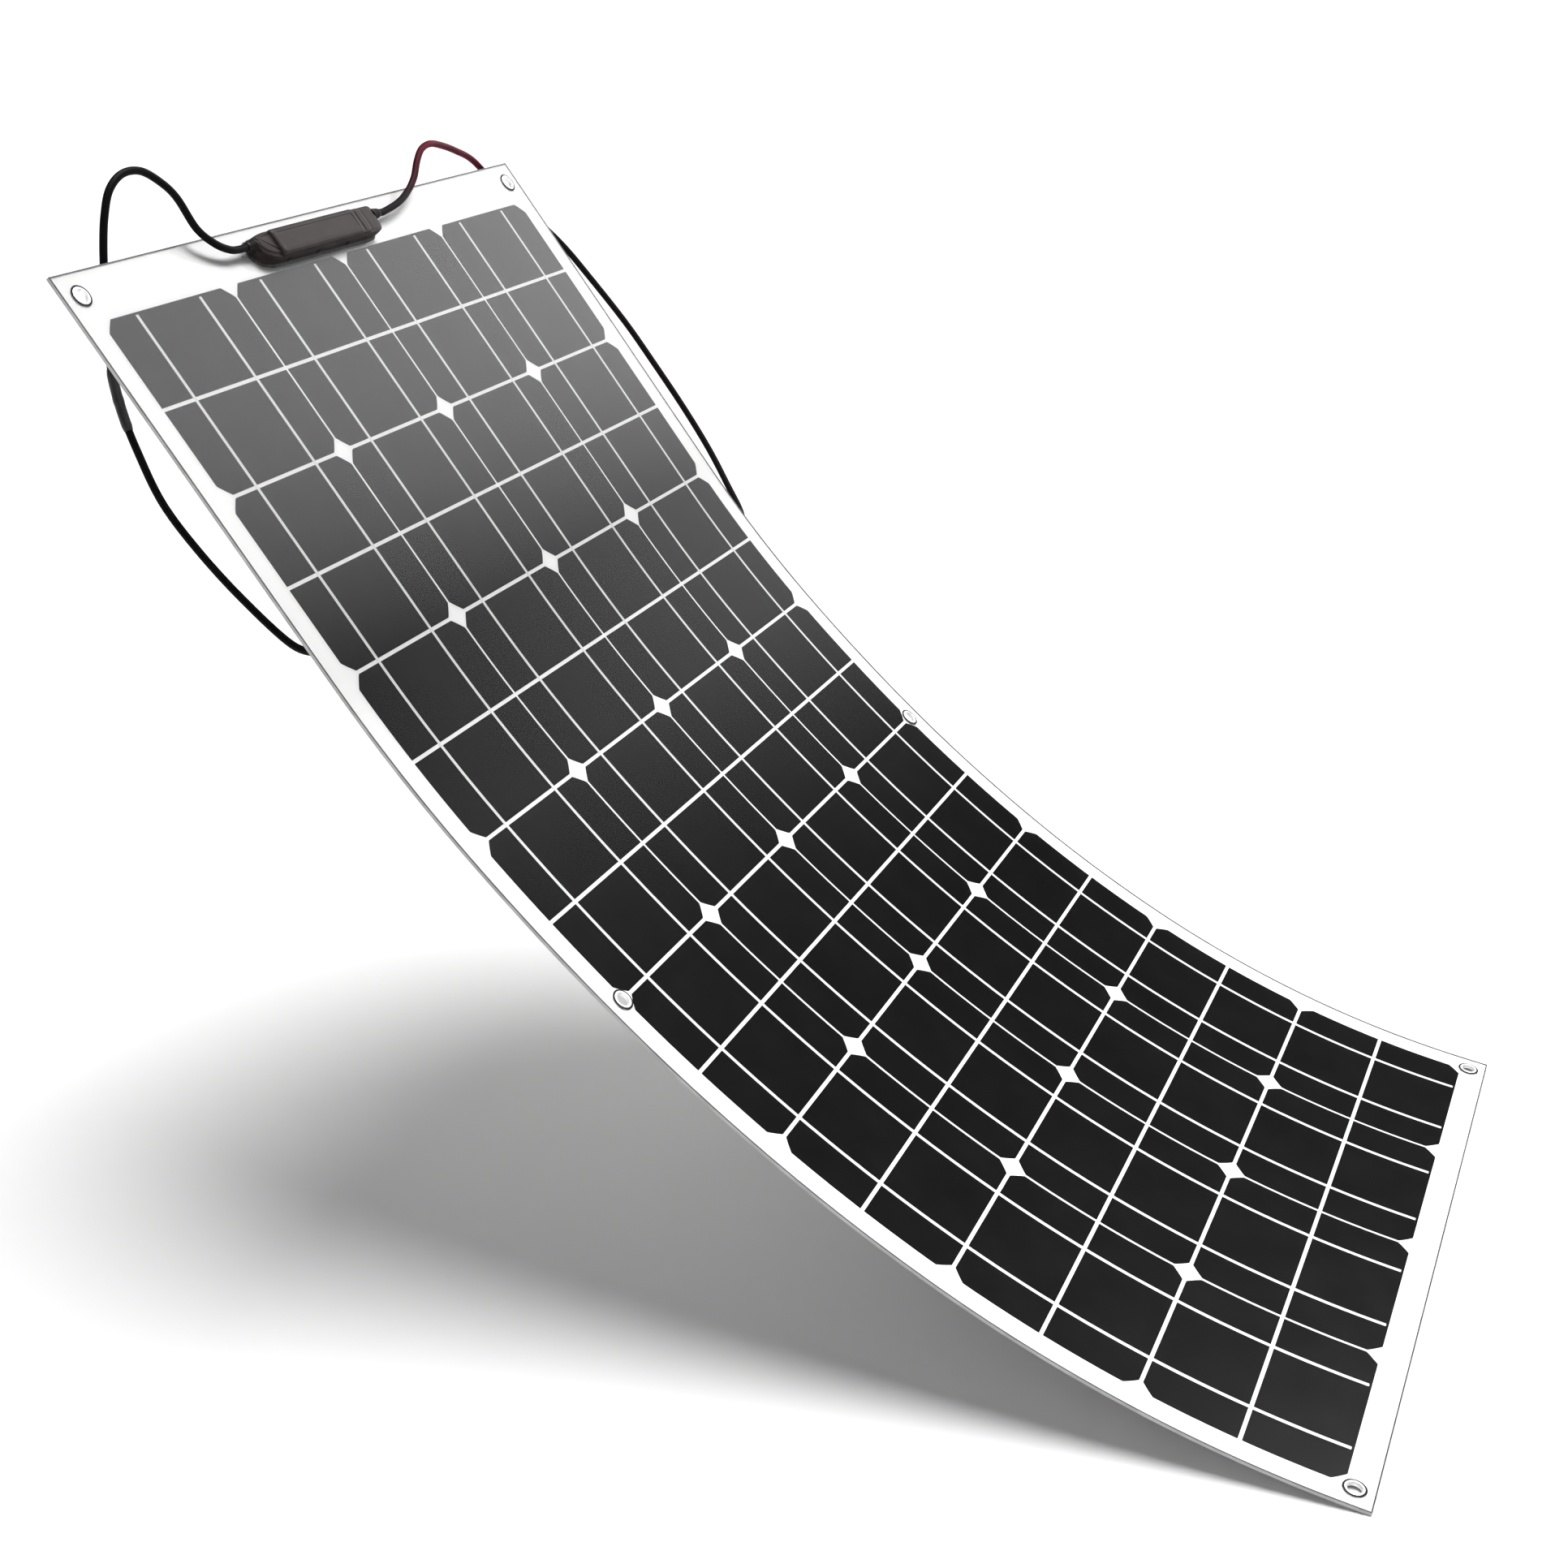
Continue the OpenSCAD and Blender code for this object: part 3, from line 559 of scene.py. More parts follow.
# the part off the sheet is in plain coordinates, the part stowed behind it in (x, s, n)
NEG_OPEN = [
    *[raised(NEG_EXIT - d, LEAD_S, LEAD_N) for d in (0, 4, 8)],
    [-115, 788.2, 622], [-127, 790.5, 627.5], [-138.5, 795, 638.5], [-147, 801, 658], [-158, 804, 669],
    [-172, 807, 677], [-187, 809, 677], [-199, 810, 669], [-206, 810, 655], [-210, 810, 639],
    [-214, 809, 620], [-217, 809, 595], [-220, 807, 565], [-222, 801, 540], [-225, 790, 516],
    [-228, 773, 486], [-232, 746, 459], [-238, 712, 434], [-243, 676, 412],
]
NEG_STOWED = [
    [-246, 784, -15], [-246, 769, -7.8], [-246, 757, -7], [-246, 743, -7], [-245, 731, -7],
    [-236, 710, -7], [-214, 701, -7], [-192, 710, -7], [-182, 732, -7], [-182, 790, -7],
    [-182, 845, -7], [-182, 892, -7], [-173, 916, -7], [-150, 925, -8], [-130, 925, -10],
    [-112, 925, -12], [-98, 925, -12.5], [-78, 925, -12.5],
]
POS_OPEN = [
    *[raised(POS_EXIT + d, LEAD_S, LEAD_N) for d in (0, 4, 8)],
    [88, 789, 624], [106, 792, 629], [121, 795, 637], [133, 799, 647],
    [145, 802, 654], [160, 804, 656], [178, 806, 653], [203, 808, 646], [231, 809, 635],
    [255, 803, 613], [277, 788, 590], [294, 769, 565], [303, 747, 536], [309, 722, 504],
    [310, 701, 477], [310, 672, 439], [307, 648, 407], [299, 628, 381],
]
POS_STOWED = [
    [289, 719, -12], [266, 710, -11], [243, 719, -9], [234, 742, -7], [234, 762, -7],
    [234, 780, -7], [234, 825, -7], [234, 873, -7], [225, 896, -7], [202, 906, -8],
    [184, 906, -10], [167, 906, -12], [150, 906, -12.5], [130, 906, -12.5],
]
NEG_LINE = smooth_line(NEG_OPEN + [raised(*p) for p in NEG_STOWED])
POS_LINE = smooth_line(POS_OPEN + [raised(*p) for p in POS_STOWED])
LEAD_RADIUS = 2.5


def lead(name, line, material, node):
    data = bpy.data.curves.new(name, "CURVE")
    data.dimensions = "3D"
    spline = data.splines.new("POLY")
    spline.points.add(len(line) - 1)
    for point, place in zip(spline.points, line):
        point.co = (*place, 1)
    data.bevel_depth = LEAD_RADIUS * MM
    data.bevel_resolution = 5
    data.use_fill_caps = True
    data.materials.append(material)
    spline.use_smooth = True
    obj = bpy.data.objects.new(name, data)
    bpy.context.scene.collection.objects.link(obj)
    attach(obj, "raised_end")
    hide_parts(node)
    return obj


neg_lead = lead("negative_lead", NEG_LINE, BLACK_LEAD, "lead_neg")
pos_lead = lead("positive_lead", POS_LINE, RED_LEAD, "lead_pos")

# marker sleeve shrunk onto the hanging part of the negative lead: drawn in at its ends, a ridge half way
SLEEVE_FIRST, SLEEVE_LAST = 15 * LINE_STEPS, 16 * LINE_STEPS + LINE_STEPS // 2
SLEEVE_RADIUS, SLEEVE_MOUTH, SLEEVE_RIDGE = 3.3, 2.8, 0.25
radii = [SLEEVE_RADIUS] * (SLEEVE_LAST - SLEEVE_FIRST + 1)
radii[0] = radii[-1] = SLEEVE_MOUTH
radii[len(radii) // 2] += SLEEVE_RIDGE
sleeve = sweep("marker_sleeve_neg", NEG_LINE[SLEEVE_FIRST:SLEEVE_LAST + 1], radii, MARKER)
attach(sleeve, "raised_end")
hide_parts("sleeve_neg")


# ---------------------------------------------------------------- the laminate
EYELET_X = 255.0
EYELETS = {"low": -4.5, "mid": 508.0, "top": 1033.0}
# the sheet is drawn in seven pieces; BLENDS gives each but the last a stretch clear of the eyelets, of which
# only the count is used
MID_SPLIT, MID_FREE = 494.0, 522.0
BREAKS = [LOW_EDGE, 127.0, 254.0, 381.0, MID_SPLIT, 635.0, RAISED_S, TOP_EDGE]
BLENDS = [(8.0, 127.0), (127.0, 254.0), (254.0, 381.0), (381.0, MID_SPLIT), (MID_FREE, 635.0),
          (635.0, RAISED_S)]
LAST = len(BLENDS)
# levels off the front face
BACK_TOP = -0.75
CELL_TOP = -0.60
RIBBON_TOP = -0.42
FILM_TOP = 0.0
RIM_TOP = 0.03
# holes in the laminate, each set in a square patch of the mesh
HOLE_RADIUS = 5.1
HOLE_SIDES = 32
PATCH = 10.0
FINE, COARSE = 9, 70


def follow(obj, k):
    """Piece k of the laminate keeps the place baked into its mesh; the last one rides on the raised end."""
    if k < LAST:
        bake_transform(obj)
    else:
        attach(obj, "raised_end")


def stations(low, high, step, extra=()):
    """Places from low to high at most a step apart, with the extra ones among them."""
    places = {low, high, *[e for e in extra if low < e < high]}
    marks = sorted(places)
    out = []
    for a, b in zip(marks, marks[1:]):
        count = max(1, math.ceil((b - a) / step))
        out += [a + (b - a) * i / count for i in range(count)]
    return out + [high]


def nearest(places, wanted):
    return min(range(len(places)), key=lambda i: abs(places[i] - wanted))


def plate(name, half, low, high, levels, material):
    """A curved plate with eyelet holes, between two places up the sheet; open when it has one level."""
    centres = [s for s in EYELETS.values() if low < s < high]
    x_marks = [EYELET_X - PATCH, EYELET_X + PATCH, -EYELET_X - PATCH, -EYELET_X + PATCH]
    s_marks = [c + d for c in centres for d in (-PATCH, PATCH)]
    xs = stations(-half, half, COARSE, x_marks)
    ss = stations(low, high, FINE, s_marks)
    vertices, st, index = [], [], {}

    def vertex(level, x, s):
        vertices.append(at(x, s, level))
        st.append((x * MM, s * MM, level * MM))
        return len(vertices) - 1

    for level in levels:
        for i, x in enumerate(xs):
            for j, s in enumerate(ss):
                index[level, i, j] = vertex(level, x, s)
    faces = []
    rings = []
    for level in levels:
        done = set()
        for i in range(len(xs) - 1):
            for j in range(len(ss) - 1):
                cx, cs = (xs[i] + xs[i + 1]) / 2, (ss[j] + ss[j + 1]) / 2
                near = [c for c in centres if abs(cs - c) < PATCH and abs(abs(cx) - EYELET_X) < PATCH]
                if near:
                    done.add((math.copysign(EYELET_X, cx), near[0]))
                    continue
                faces.append((index[level, i, j], index[level, i + 1, j],
                              index[level, i + 1, j + 1], index[level, i, j + 1]))
        for x0, s0 in sorted(done):
            turns = [2 * math.pi * k / HOLE_SIDES for k in range(HOLE_SIDES)]
            ring = [vertex(level, x0 + HOLE_RADIUS * math.cos(a), s0 + HOLE_RADIUS * math.sin(a))
                    for a in turns]
            rings.append((level, x0, s0, ring))
            i0, i1 = nearest(xs, x0 - PATCH), nearest(xs, x0 + PATCH)
            j0, j1 = nearest(ss, s0 - PATCH), nearest(ss, s0 + PATCH)
            low_side = [(i, j0) for i in range(i0, i1 + 1)]
            right_side = [(i1, j) for j in range(j0, j1 + 1)]
            high_side = [(i, j1) for i in range(i1, i0 - 1, -1)]
            left_side = [(i0, j) for j in range(j1, j0 - 1, -1)]
            # each side of the patch faces a quarter of the ring, centred on its direction
            quarter = HOLE_SIDES // 4
            for turn, side in enumerate((right_side, high_side, left_side, low_side)):
                outer = [index[level, i, j] for i, j in side]
                first = turn * quarter - quarter // 2
                inner = [ring[(first + k) % HOLE_SIDES] for k in range(quarter + 1)]
                faces.append(tuple(outer + inner[::-1]))
    if len(levels) == 2:
        n_top, n_bottom = levels
        for i in range(len(xs) - 1):
            for j in (0, len(ss) - 1):
                faces.append((index[n_top, i, j], index[n_top, i + 1, j],
                              index[n_bottom, i + 1, j], index[n_bottom, i, j]))
        for j in range(len(ss) - 1):
            for i in (0, len(xs) - 1):
                faces.append((index[n_top, i, j], index[n_top, i, j + 1],
                              index[n_bottom, i, j + 1], index[n_bottom, i, j]))
        tops = {(x, s): ring for level, x, s, ring in rings if level == n_top}
        bottoms = {(x, s): ring for level, x, s, ring in rings if level == n_bottom}
        for key, top in tops.items():
            bottom = bottoms[key]
            for k in range(HOLE_SIDES):
                l = (k + 1) % HOLE_SIDES
                faces.append((top[k], top[l], bottom[l], bottom[k]))
    return piece(name, vertices, faces, material, st=st)


def bar(name, outline, marks, material, across=False):
    """A bar whose outline in mm runs up the sheet as (x, n), or across it as (s, n)."""
    vertices, places = [], []
    for mark in marks:
        for beside, n in outline:
            x, s = (mark, beside) if across else (beside, mark)
            vertices.append(at(x, s, n))
            places.append((x * MM, s * MM, n * MM))
    return piece(name, vertices, tube_faces(len(marks), len(outline)), material, st=places)


def paint_low(obj, level):
    """Gives the second material to the faces that lie wholly below a level."""
    places = obj.data.attributes["st"].data
    for face in obj.data.polygons:
        face.material_index = int(max(places[v].vector.z for v in face.vertices) < level * MM)


# rim: the cut edge, light on its wall; where the face layers end it is painted dark as a shade line along
# the edge, darkest along the low edge as painted contact shadow at the floor
RIM = 0.8
INNER = HALF_WIDTH - RIM


def end_rim(name, edge, inwards, material):
    """The rim along the low or the top edge."""
    outline = [(edge, -THICK), (edge, -0.3), (edge + 0.3 * inwards, 0.0), (edge + RIM * inwards, RIM_TOP),
               (edge + RIM * inwards, -THICK)]
    return bar(name, outline, stations(-INNER, INNER, 60), material, across=True)


for k, body in enumerate(BODIES):
    low, high = BREAKS[k], BREAKS[k + 1]
    inner_low = low + RIM if k == 0 else low
    inner_high = high - RIM if k == LAST else high
    back = plate(f"backing_{k}", INNER, inner_low, inner_high, [BACK_TOP, -THICK], [WHITE, REAR])
    paint_low(back, 0.1 - THICK)
    follow(back, k)
    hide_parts(f"rear_sheet_{body}")
    film = plate(f"face_film_{k}", INNER, inner_low, inner_high, [FILM_TOP], FILM)
    follow(film, k)
    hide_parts(f"bond_fill_{body}", f"front_film_{body}")
    sides = []
    for side in (-1, 1):
        outline = [(side * x, n) for x, n in ((INNER, -THICK), (HALF_WIDTH, -THICK), (HALF_WIDTH, -0.35),
                                              (HALF_WIDTH - 0.25, -0.05), (INNER, RIM_TOP))]
        side_rim = bar(f"rim_side_{k}_{side}", outline, stations(low, high, FINE), [EDGE_SHADE_LINE, WALL])
        paint_low(side_rim, -0.3)
        sides.append(side_rim)
    if k == 0:
        # painted contact shadow along the low edge
        sides.append(end_rim("rim_low", LOW_EDGE, 1, LOW_RIM_SHADOW))
    if k == LAST:
        sides.append(end_rim("rim_top", TOP_EDGE, -1, EDGE_SHADE_LINE))
    rim = joined(f"edge_rim_shade_{k}", sides)
    follow(rim, k)

# half cells: cut corners from the round wafer, in one piece per row
COLUMNS = [-190.5, -63.5, 63.5, 190.5]
CELL_HALF_WIDTH, CELL_HALF_LENGTH, CUT, WAFER = 62.5, 62.25, 1.25, 82.5
# how far from the middle of a cell its corners start to be cut
ARC_START = math.sqrt(WAFER ** 2 - CELL_HALF_WIDTH ** 2)
ACROSS = [-1, -0.97, -0.5, 0, 0.5, 0.97, 1]


def half_cell(s0, sign):
    """Rows of (s, half width) for one half of a cell."""
    depths = [CUT] + [CUT + (ARC_START - CUT) * i / 5 for i in range(1, 6)]
    depths += [ARC_START + (CELL_HALF_LENGTH - ARC_START) * i / 6 for i in range(1, 7)]
    return [(s0 + sign * d, min(CELL_HALF_WIDTH, math.sqrt(WAFER ** 2 - d * d))) for d in depths]


def cell_row(name, centre):
    """The eight half cells of a row, each a thin slab."""
    vertices, st, faces = [], [], []
    wide = len(ACROSS)
    for x0 in COLUMNS:
        for sign in (-1, 1):
            rows = half_cell(centre, sign)
            base = len(vertices)
            for level in (CELL_TOP, BACK_TOP):
                for s, w in rows:
                    for t in ACROSS:
                        vertices.append(at(x0 + w * t, s, level))
                        st.append(((x0 + w * t) * MM, s * MM, level * MM))
            layer = len(rows) * wide
            for level in (0, 1):
                for i in range(len(rows) - 1):
                    for t in range(wide - 1):
                        q = base + level * layer + i * wide + t
                        faces.append((q, q + 1, q + wide + 1, q + wide))
            loop = list(range(wide))
            loop += [i * wide + wide - 1 for i in range(1, len(rows))]
            loop += [(len(rows) - 1) * wide + t for t in range(wide - 2, -1, -1)]
            loop += [i * wide for i in range(len(rows) - 2, 0, -1)]
            for a, b in zip(loop, loop[1:] + loop[:1]):
                faces.append((base + a, base + b, base + layer + b, base + layer + a))
    return piece(name, vertices, faces, SILICON, st=st)


for row in range(8):
    cells = cell_row(f"cell_row_{row}", PITCH * (row + 0.5))
    k = min(row, LAST)
    follow(cells, k)
    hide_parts(f"cells_{BODIES[k]}")

# copper strips: two on each cell, running through over the gaps
RIBBON_LOW, RIBBON_HIGH = 3.0, 1013.0
RIBBON_OFFSET, RIBBON_HALF = 31.25, 1.25
for k, body in enumerate(BODIES):
    low, high = max(BREAKS[k], RIBBON_LOW), min(BREAKS[k + 1], RIBBON_HIGH)
    bars = []
    for x0 in COLUMNS:
        for x in (x0 - RIBBON_OFFSET, x0 + RIBBON_OFFSET):
            left, right = x - RIBBON_HALF, x + RIBBON_HALF
            outline = [(left, CELL_TOP - 0.1), (right, CELL_TOP - 0.1), (right, RIBBON_TOP - 0.06),
                       (right - 0.3, RIBBON_TOP), (left + 0.3, RIBBON_TOP), (left, RIBBON_TOP - 0.06)]
            bars.append(bar(f"bar_{k}_{x}", outline, stations(low, high, FINE), TINNED))
    ribbon = joined(f"copper_strips_{k}", bars)
    follow(ribbon, k)
    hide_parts(f"ribbons_{body}")

# eyelets: pressed rings with rolled lips, each on a thin dark ring that is painted shade round its flange,
# as (radius, height off the face)
RING = [(4.6, -2.4), (4.6, 0.22), (4.7, 0.42), (4.9, 0.56), (5.2, 0.62), (5.6, 0.58), (6.0, 0.40),
        (6.1, 0.16), (5.1, 0.10), (5.1, -1.95), (6.3, -1.95), (6.6, -2.15), (6.5, -2.4), (5.9, -2.52),
        (4.9, -2.52)]
# the dark ring under the flange, reaching out past it as painted shade
SHADE_RING = [(5.1, 0.02), (7.25, 0.02), (7.35, 0.12), (7.1, 0.3), (6.0, 0.3), (5.1, 0.2)]
EYELET_BODIES = {"low": "low_end", "mid": "bend_4", "top": "raised_end"}
for where, s in EYELETS.items():
    for side, x in (("left", -EYELET_X), ("right", EYELET_X)):
        place = sheet_frame(x, s, 0)
        ring = turned(f"eyelet_{where}_{side}_ring", RING, place, STEEL, closed=True)
        shade_ring = turned(f"seat_{where}_{side}", SHADE_RING, place, FLANGE_SHADE, closed=True)
        ring = joined(f"eyelet_ring_{where}_{side}", [ring, shade_ring])
        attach(ring, EYELET_BODIES[where])
        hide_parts(f"eyelet_{where}_{side}")

# ---------------------------------------------------------------- connection box
BOX_LEFT, BOX_RIGHT = -90.0, 50.0
FRAME0 = raised_frame(0, 0, 0)
# outline from above in (x, s): a nose tapering to the lead on the left, a cut end on the right
BOX_PLAN = [(BOX_LEFT, 1029.6), (-89, 1027.2), (-85, 1024), (-80.5, 1021.8), (-75.5, 1020.5), (-70, 1020),
            (45, 1020), (48.5, 1021.4), (BOX_RIGHT, 1025), (BOX_RIGHT, 1037.5), (49.2, 1039.6), (47, 1040.5),
            (-78, 1040.5), (-85, 1039.8), (-89, 1039.0), (BOX_LEFT, 1037.6)]
NOSE_PLAN = [(-89.3, 1030.4), (-87.6, 1027.6), (-84, 1025), (-79, 1022.8), (-70, 1021.6), (-70, 1039.4),
             (-84, 1038.9), (-88, 1038.4), (-89.3, 1037.4)]


def rounded(points, radius=1.2, count=3):
    """The outline with each corner eased by a short curve."""
    out = []
    for i, (x, y) in enumerate(points):
        p = Vector((x, y))
        a, b = Vector(points[i - 1]) - p, Vector(points[(i + 1) % len(points)]) - p
        start = p + a.normalized() * min(radius, a.length / 2.2)
        end = p + b.normalized() * min(radius, b.length / 2.2)
        for k in range(count + 1):
            u = k / count
            out.append(start * (1 - u) ** 2 + p * 2 * u * (1 - u) + end * u * u)
    return out


def inset(points, by):
    """The outline moved inwards by a distance, anticlockwise."""
    out = []
    for i, p in enumerate(points):
        along = (points[(i + 1) % len(points)] - points[i - 1]).normalized()
        out.append(p + Vector((-along.y, along.x)) * by)
    return out


def stacked(name, outlines):
    """A closed shell through outlines with the same number of points: each is (points, height)."""
    vertices = [FRAME0 @ (Vector((p.x, p.y, height)) * MM) for points, height in outlines for p in points]
    return piece(name, vertices, tube_faces(len(outlines), len(outlines[0][0])), BOX, sharp=28)


def drawn_in(outline, layers):
    """Copies of an outline, each (distance inwards, height)."""
    base = rounded(outline)
    return [(inset(base, by), height) for by, height in layers]


def slab(left, right, low, high, cut, layers):
    """Rectangles with eased corners, each drawn in by a distance at a height."""
    out = []
    for by, height in layers:
        l, r, b, t = left + by, right - by, low + by, high - by
        out.append((rounded([(l, b + cut), (l + cut, b), (r - cut, b), (r, b + cut),
                             (r, t - cut), (r - cut, t), (l + cut, t), (l, t - cut)], cut / 2.2), height))
    return out


# snap tabs on both long sides of the tray
TABS = [(x, low, low + 1.5) for low in (1019.5, 1039.5) for x in (-62, -28, 8)]
tray = stacked("tray_shell", drawn_in(BOX_PLAN, [
    (0.5, 0.6), (0.1, 0.9), (0.0, 1.6), (0.0, 6.6), (0.15, 7.2), (0.5, 7.45), (1.0, 7.45)]))
tabs = [block(f"tab_{i}", (x, low, 2.2), (x + 7, high, 6.4), FRAME0, BOX, bevel=0.25)
        for i, (x, low, high) in enumerate(TABS)]
tray = joined("box_tray", [tray] + tabs)
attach(tray, "raised_end")
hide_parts("box_base")

# lid: a skirt, the main slab, two lower steps with ribs on the right and the nose on the left
skirt = stacked("lid_skirt", drawn_in(BOX_PLAN, [
    (1.0, 7.75), (0.3, 7.75), (0.1, 8.0), (0.25, 9.0), (0.8, 9.6), (1.6, 9.75)]))
main = stacked("lid_main", slab(-74, 24, 1020.4, 1040.1, 1.6, [
    (0.0, 8.2), (0.0, 10.6), (0.35, 11.8), (1.0, 12.6), (1.9, 13.0), (3.4, 13.0), (3.8, 12.75)]))
step_a = stacked("lid_step_a", slab(18, 34, 1020.8, 1039.9, 2.0, [
    (0.0, 8.2), (0.0, 10.2), (0.4, 11.0), (1.2, 11.4), (2.0, 11.4)]))
step_b = stacked("lid_step_b", slab(28, 49, 1021.2, 1039.6, 3.0, [
    (0.0, 8.2), (0.0, 9.0), (0.5, 9.8), (1.4, 10.1), (2.4, 10.1)]))
nose = stacked("lid_nose", drawn_in(NOSE_PLAN, [
    (0.0, 8.2), (0.0, 9.2), (0.4, 10.0), (0.9, 10.5), (1.5, 10.8), (2.0, 10.9)]))
RIB_FIRST, RIB_PITCH, RIB_WIDTH, RIB_TOP, RIB_FALL = 27, 5.2, 1.4, 11.75, 0.75
ribs = []
for i in range(3):
    x = RIB_FIRST + RIB_PITCH * i
    highs = (x + RIB_WIDTH, 1037.8, RIB_TOP - RIB_FALL * i)
    ribs.append(block(f"rib_{i}", (x, 1022.5, 9.0), highs, FRAME0, BOX, bevel=0.3))
lid = joined("box_cover", [skirt, main, step_a, step_b, nose] + ribs)
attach(lid, "raised_end")
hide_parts("box_lid")

# uneven bead of adhesive pressed out round the box, as (outwards, height)
BEAD = [(-1.2, -0.43), (1.3, -0.43), (1.2, 0.1), (0.7, 0.6), (0.0, 1.0), (-1.2, 1.0)]


def adhesive_bead():
    loop = rounded(BOX_PLAN, 2.0, 5)
    dense = []
    for a, b in zip(loop, loop[1:] + loop[:1]):
        count = max(1, int((b - a).length / 2.5))
        dense += [a + (b - a) * (i / count) for i in range(count)]
    count, rows = len(dense), len(BEAD)
    wave = np.random.default_rng(7).uniform(-0.5, 0.6, count)
    wave = (wave + np.roll(wave, 1) + np.roll(wave, 2) + np.roll(wave, -1)) / 4
    vertices, faces = [], []
    for i, p in enumerate(dense):
        along = dense[(i + 1) % count] - dense[i - 1]
        out = Vector((along.y, -along.x)).normalized()
        for off, height in BEAD:
            q = p + out * (off + (wave[i] if off > 0 else 0))
            vertices.append(FRAME0 @ (Vector((q.x, q.y, height)) * MM))
    for i in range(count):
        j = (i + 1) % count
        for k in range(rows):
            l = (k + 1) % rows
            faces.append((i * rows + k, j * rows + k, j * rows + l, i * rows + l))
    return piece("adhesive_bead", vertices, faces, GLUE)


bead = adhesive_bead()
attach(bead, "raised_end")
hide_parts("box_bed")


def boot(name, x, sign, length, node):
    """Rubber sleeve where a lead leaves the box: a collar, then shrinking ribs."""
    place = raised_frame(x, LEAD_S, LEAD_N) @ Matrix.Rotation(math.radians(90) * sign, 4, "Y")
    profile = [(0.0, -1.0), (4.1, -1.0), (4.3, -0.7), (4.3, 0.8), (4.05, 1.2)]
    ribs = 3
    pitch = (length - 2.4) / ribs
    for i in range(ribs):
        r = 4.1 - 0.8 * (i + 0.5) / ribs
        h = 1.2 + pitch * i
        profile += [(r - 0.5, h + pitch * 0.12), (r - 0.5, h + pitch * 0.38), (r, h + pitch * 0.5),
                    (r, h + pitch * 0.85), (r - 0.1, h + pitch * 0.97)]
    profile += [(3.1, length - 0.7), (2.95, length - 0.2), (2.75, length), (0.0, length)]
    obj = turned(name, profile, place, RUBBER, count=40)
    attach(obj, "raised_end")
    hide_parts(node)


boot("strain_boot_neg", BOX_LEFT, -1, BOX_LEFT - NEG_EXIT, "boot_neg")
boot("strain_boot_pos", BOX_RIGHT, 1, POS_EXIT - BOX_RIGHT, "boot_pos")

# ---------------------------------------------------------------- connectors
# profiles as (radius, distance from the lead's end), and how far behind the face the connectors lie
STOW = -12.5
NUT = [(2.7, 0.0), (6.6, 0.0), (7.8, 0.8), (8.3, 2.0), (8.3, 16.0), (7.6, 17.0), (7.5, 20.0), (2.7, 20.0)]
BARREL = [(0.0, 20.2), (7.6, 20.2), (8.5, 21.0), (8.5, 24.0), (8.1, 24.5), (8.1, 26.0), (8.5, 26.5),
          (8.5, 35.0), (7.5, 36.0), (6.2, 36.2), (6.2, 46.0), (6.35, 46.6), (6.35, 48.0), (6.2, 48.6),
          (6.2, 59.0), (5.3, 60.0), (4.2, 60.0), (4.0, 59.0), (4.0, 44.5), (0.0, 44.5)]


def around(place, count):
    """Matrices turned in equal steps about the axis of a place."""
    return [place @ Matrix.Rotation(2 * math.pi * i / count, 4, "Z") for i in range(count)]


def connector(tag, x, s, sign, arms):
    """Nut and barrel from the lead's end inwards, with two latch arms or a ring of grip ribs."""
    place = raised_frame(x, s, STOW) @ Matrix.Rotation(math.radians(90) * sign, 4, "Y")
    nut = turned(f"nut_core_{tag}", NUT, place, PLUG, closed=True)
    ribs = [block(f"nut_rib_{tag}_{i}", (7.8, -0.9, 1.8), (9.2, 0.9, 15.8), turn, PLUG, bevel=0.35)
            for i, turn in enumerate(around(place, 12))]
    nut = joined(f"connector_nut_{tag}", [nut] + ribs)
    parts = [turned(f"barrel_{tag}", BARREL, place, PLUG)]
    if arms:
        for side in (-1, 1):
            lows = (side * 7.2 - 1.2, -2.5, 34.0)
            highs = (side * 7.2 + 1.2, 2.5, 58.0)
            parts.append(block(f"arm_{tag}_{side}", lows, highs, place, PLUG, bevel=0.5))
    else:
        parts += [block(f"grip_{tag}_{i}", (7.9, -0.7, 27.5), (8.9, 0.7, 34.0), turn, PLUG, bevel=0.3)
                  for i, turn in enumerate(around(place, 8))]
    body = joined(f"connector_body_{tag}", parts)
    for obj, node in ((nut, f"plug_nut_{tag}"), (body, f"plug_body_{tag}")):
        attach(obj, "raised_end")
        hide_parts(node)
    return nut, body


neg_plug = connector("neg", -78, 925, 1, True)
pos_plug = connector("pos", 130, 906, -1, False)

# CAD nodes carried over with their own finish, the saddles also with softened edges
for node, material in (("saddle_neg", SADDLE), ("saddle_pos", SADDLE), ("saddle_plug_neg", SADDLE),
                       ("saddle_plug_pos", SADDLE), ("box_terminals", TINNED), ("box_diode", PLUG),
                       ("plug_contacts", STEEL)):
    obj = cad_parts[node]
    obj.data.materials.clear()
    obj.data.materials.append(material)
    if node.startswith("saddle"):
        soft = obj.modifiers.new("soft_edges", "BEVEL")
        soft.width = 0.0004
        soft.segments = 2
        soft.limit_method = "ANGLE"

# ---------------------------------------------------------------- floor and light
FLOOR_HALF = 30.0
FLOOR_GAP = 0.0002
mesh = bpy.data.meshes.new("floor")
work = bmesh.new()
bmesh.ops.create_grid(work, x_segments=4, y_segments=4, size=FLOOR_HALF)
bmesh.ops.translate(work, verts=work.verts, vec=(0, 0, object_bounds()[0][2] - FLOOR_GAP))
work.to_mesh(mesh)
work.free()
mesh.materials.append(FLOOR)
floor = bpy.data.objects.new("floor", mesh)
bpy.context.scene.collection.objects.link(floor)

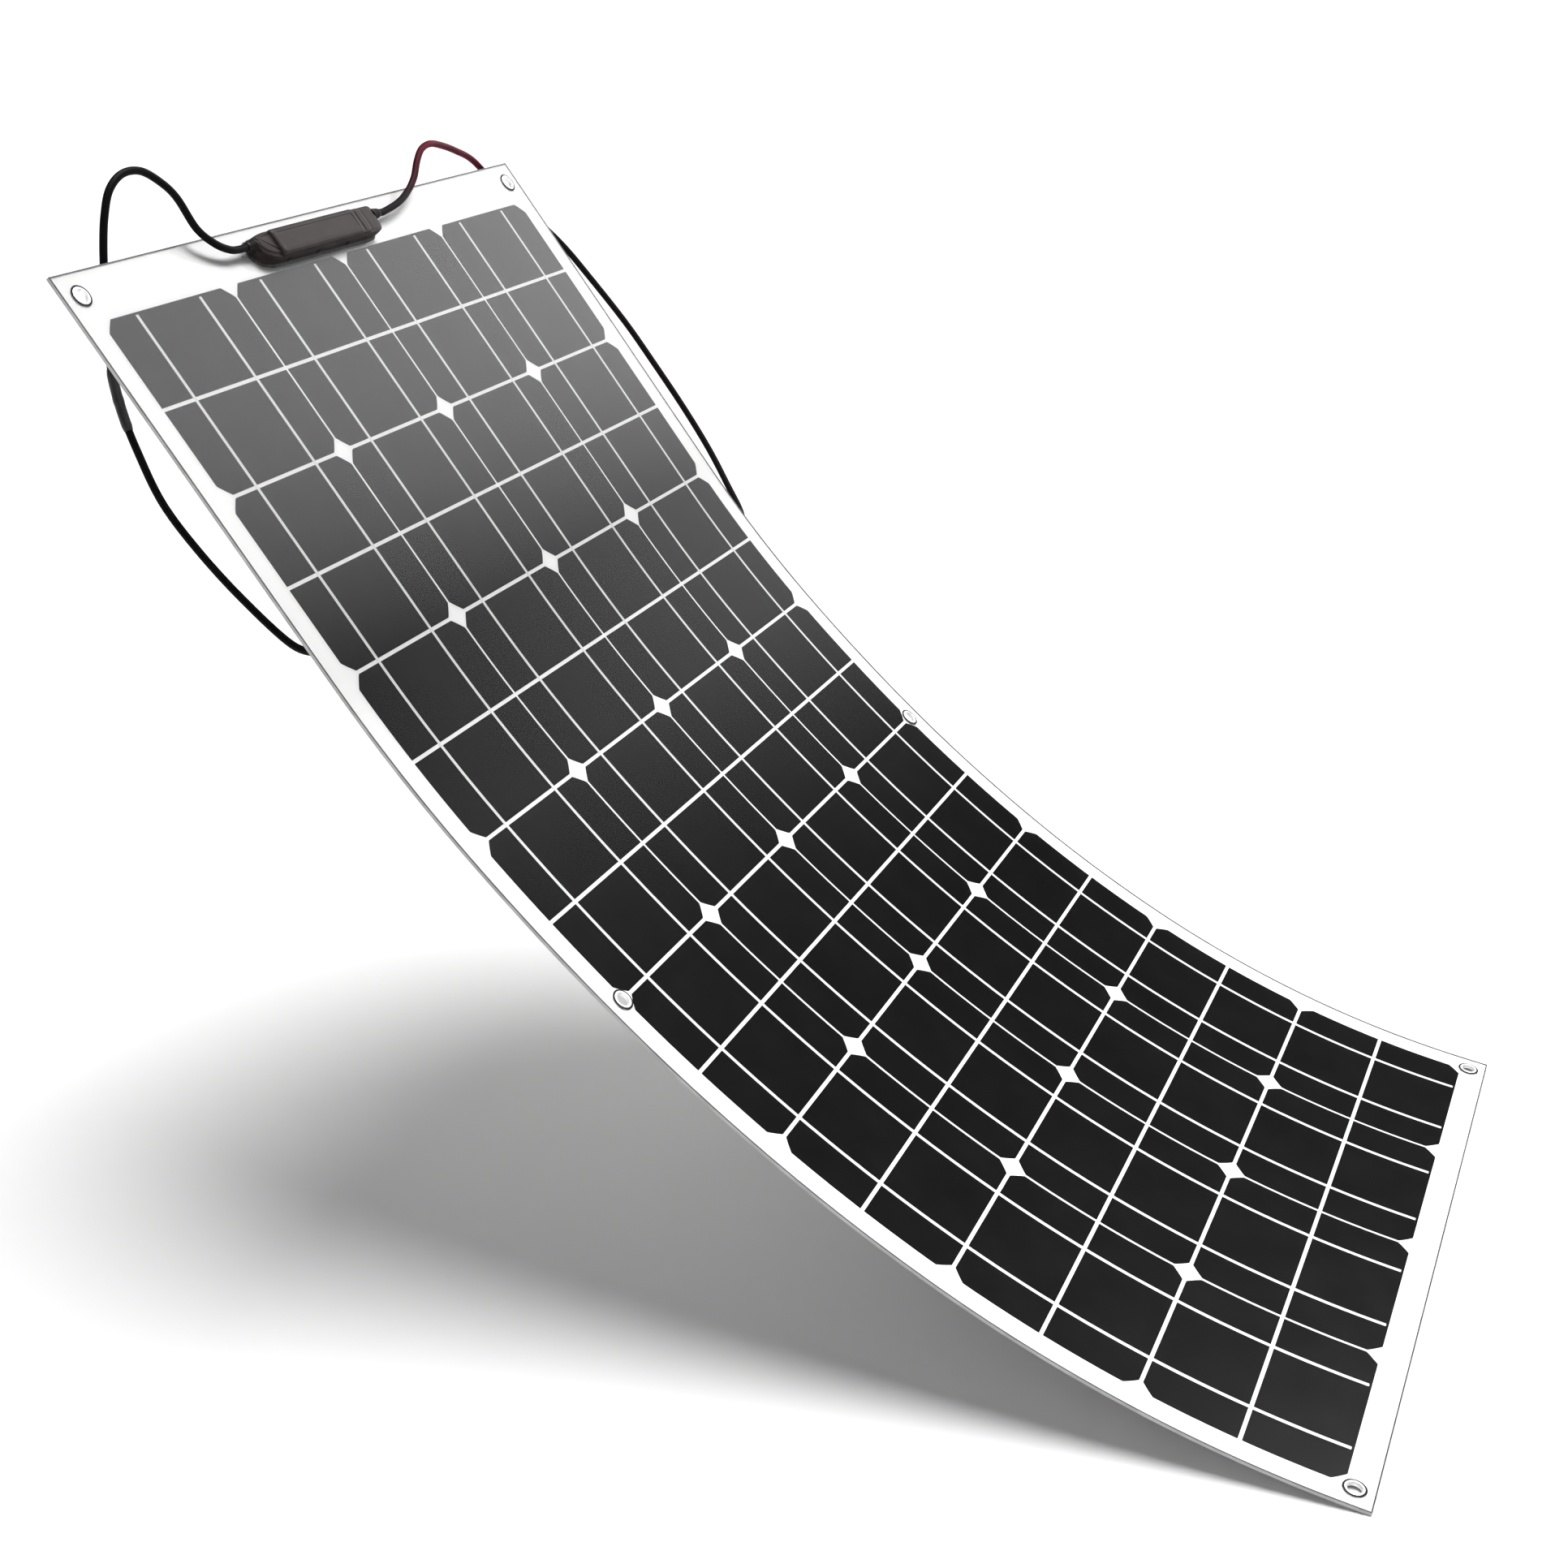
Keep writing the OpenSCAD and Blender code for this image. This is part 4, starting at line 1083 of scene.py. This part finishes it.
sun_data = bpy.data.lights.new("overhead", "SUN")
sun_data.energy = 5.6
sun_data.angle = math.radians(44)
sun = bpy.data.objects.new("overhead", sun_data)
bpy.context.scene.collection.objects.link(sun)
sun.rotation_euler = Vector((0.25, -0.20, 1.0)).to_track_quat("Z", "Y").to_euler()

# a soft panel on the far side that only the raised end mirrors towards the viewer, fading out to one side
panel_data = bpy.data.lights.new("far_panel", "AREA")
panel_data.shape = "RECTANGLE"
PANEL_U, PANEL_W = (0.38, 1.38), (0.10, 1.90)
PANEL_LEVEL = 3.05
panel_data.size = PANEL_U[1] - PANEL_U[0]
panel_data.size_y = PANEL_W[1] - PANEL_W[0]
panel_data.energy = PANEL_LEVEL * math.pi * panel_data.size * panel_data.size_y
lamp = Nodes(panel_data, "ShaderNodeOutputLight")
side_on = lamp.split(lamp.add("ShaderNodeNewGeometry").outputs["Parametric"])[0]
glow = lamp.add("ShaderNodeEmission")
lamp.link(lamp.spread(side_on, 0.0, 1.0, 0.0, 0.52, "SMOOTHSTEP"), glow.inputs["Strength"])
lamp.link(glow.outputs[0], lamp.out.inputs[0])
panel = bpy.data.objects.new("far_panel", panel_data)
bpy.context.scene.collection.objects.link(panel)
ACROSS_U, ACROSS_W = Vector((0, 0.82, 0.573)), Vector((0, -0.573, 0.82))
PANEL_X = 1.2
panel_turn = Matrix((ACROSS_U, ACROSS_W, ACROSS_U.cross(ACROSS_W))).transposed().to_4x4()
panel_place = Vector((PANEL_X, 0, 0)) + ACROSS_U * sum(PANEL_U) / 2 + ACROSS_W * sum(PANEL_W) / 2
panel.matrix_world = Matrix.Translation(panel_place) @ panel_turn

# a pale dome with black drapes low on the far side
world = bpy.data.worlds.new("studio")
bpy.context.scene.world = world
sky = Nodes(world, "ShaderNodeOutputWorld")
x, _, z = sky.split(sky.coords("Generated"))
far_side = sky.spread(x, 0.0, 1.0, 0.10, 0.40, "SMOOTHSTEP")
under = sky.spread(z, 1.0, 0.0, 0.74, 0.92, "SMOOTHSTEP")
drape = sky.math("MULTIPLY", far_side, under)
level = sky.math("ADD", 0.02, sky.math("MULTIPLY", sky.math("SUBTRACT", 1.0, drape), 0.30))
background = sky.add("ShaderNodeBackground")
background.inputs["Color"].default_value = (1.0, 1.0, 1.0, 1.0)
sky.link(level, background.inputs["Strength"])
sky.link(background.outputs[0], sky.out.inputs[0])

bpy.context.scene.view_settings.view_transform = "Standard"
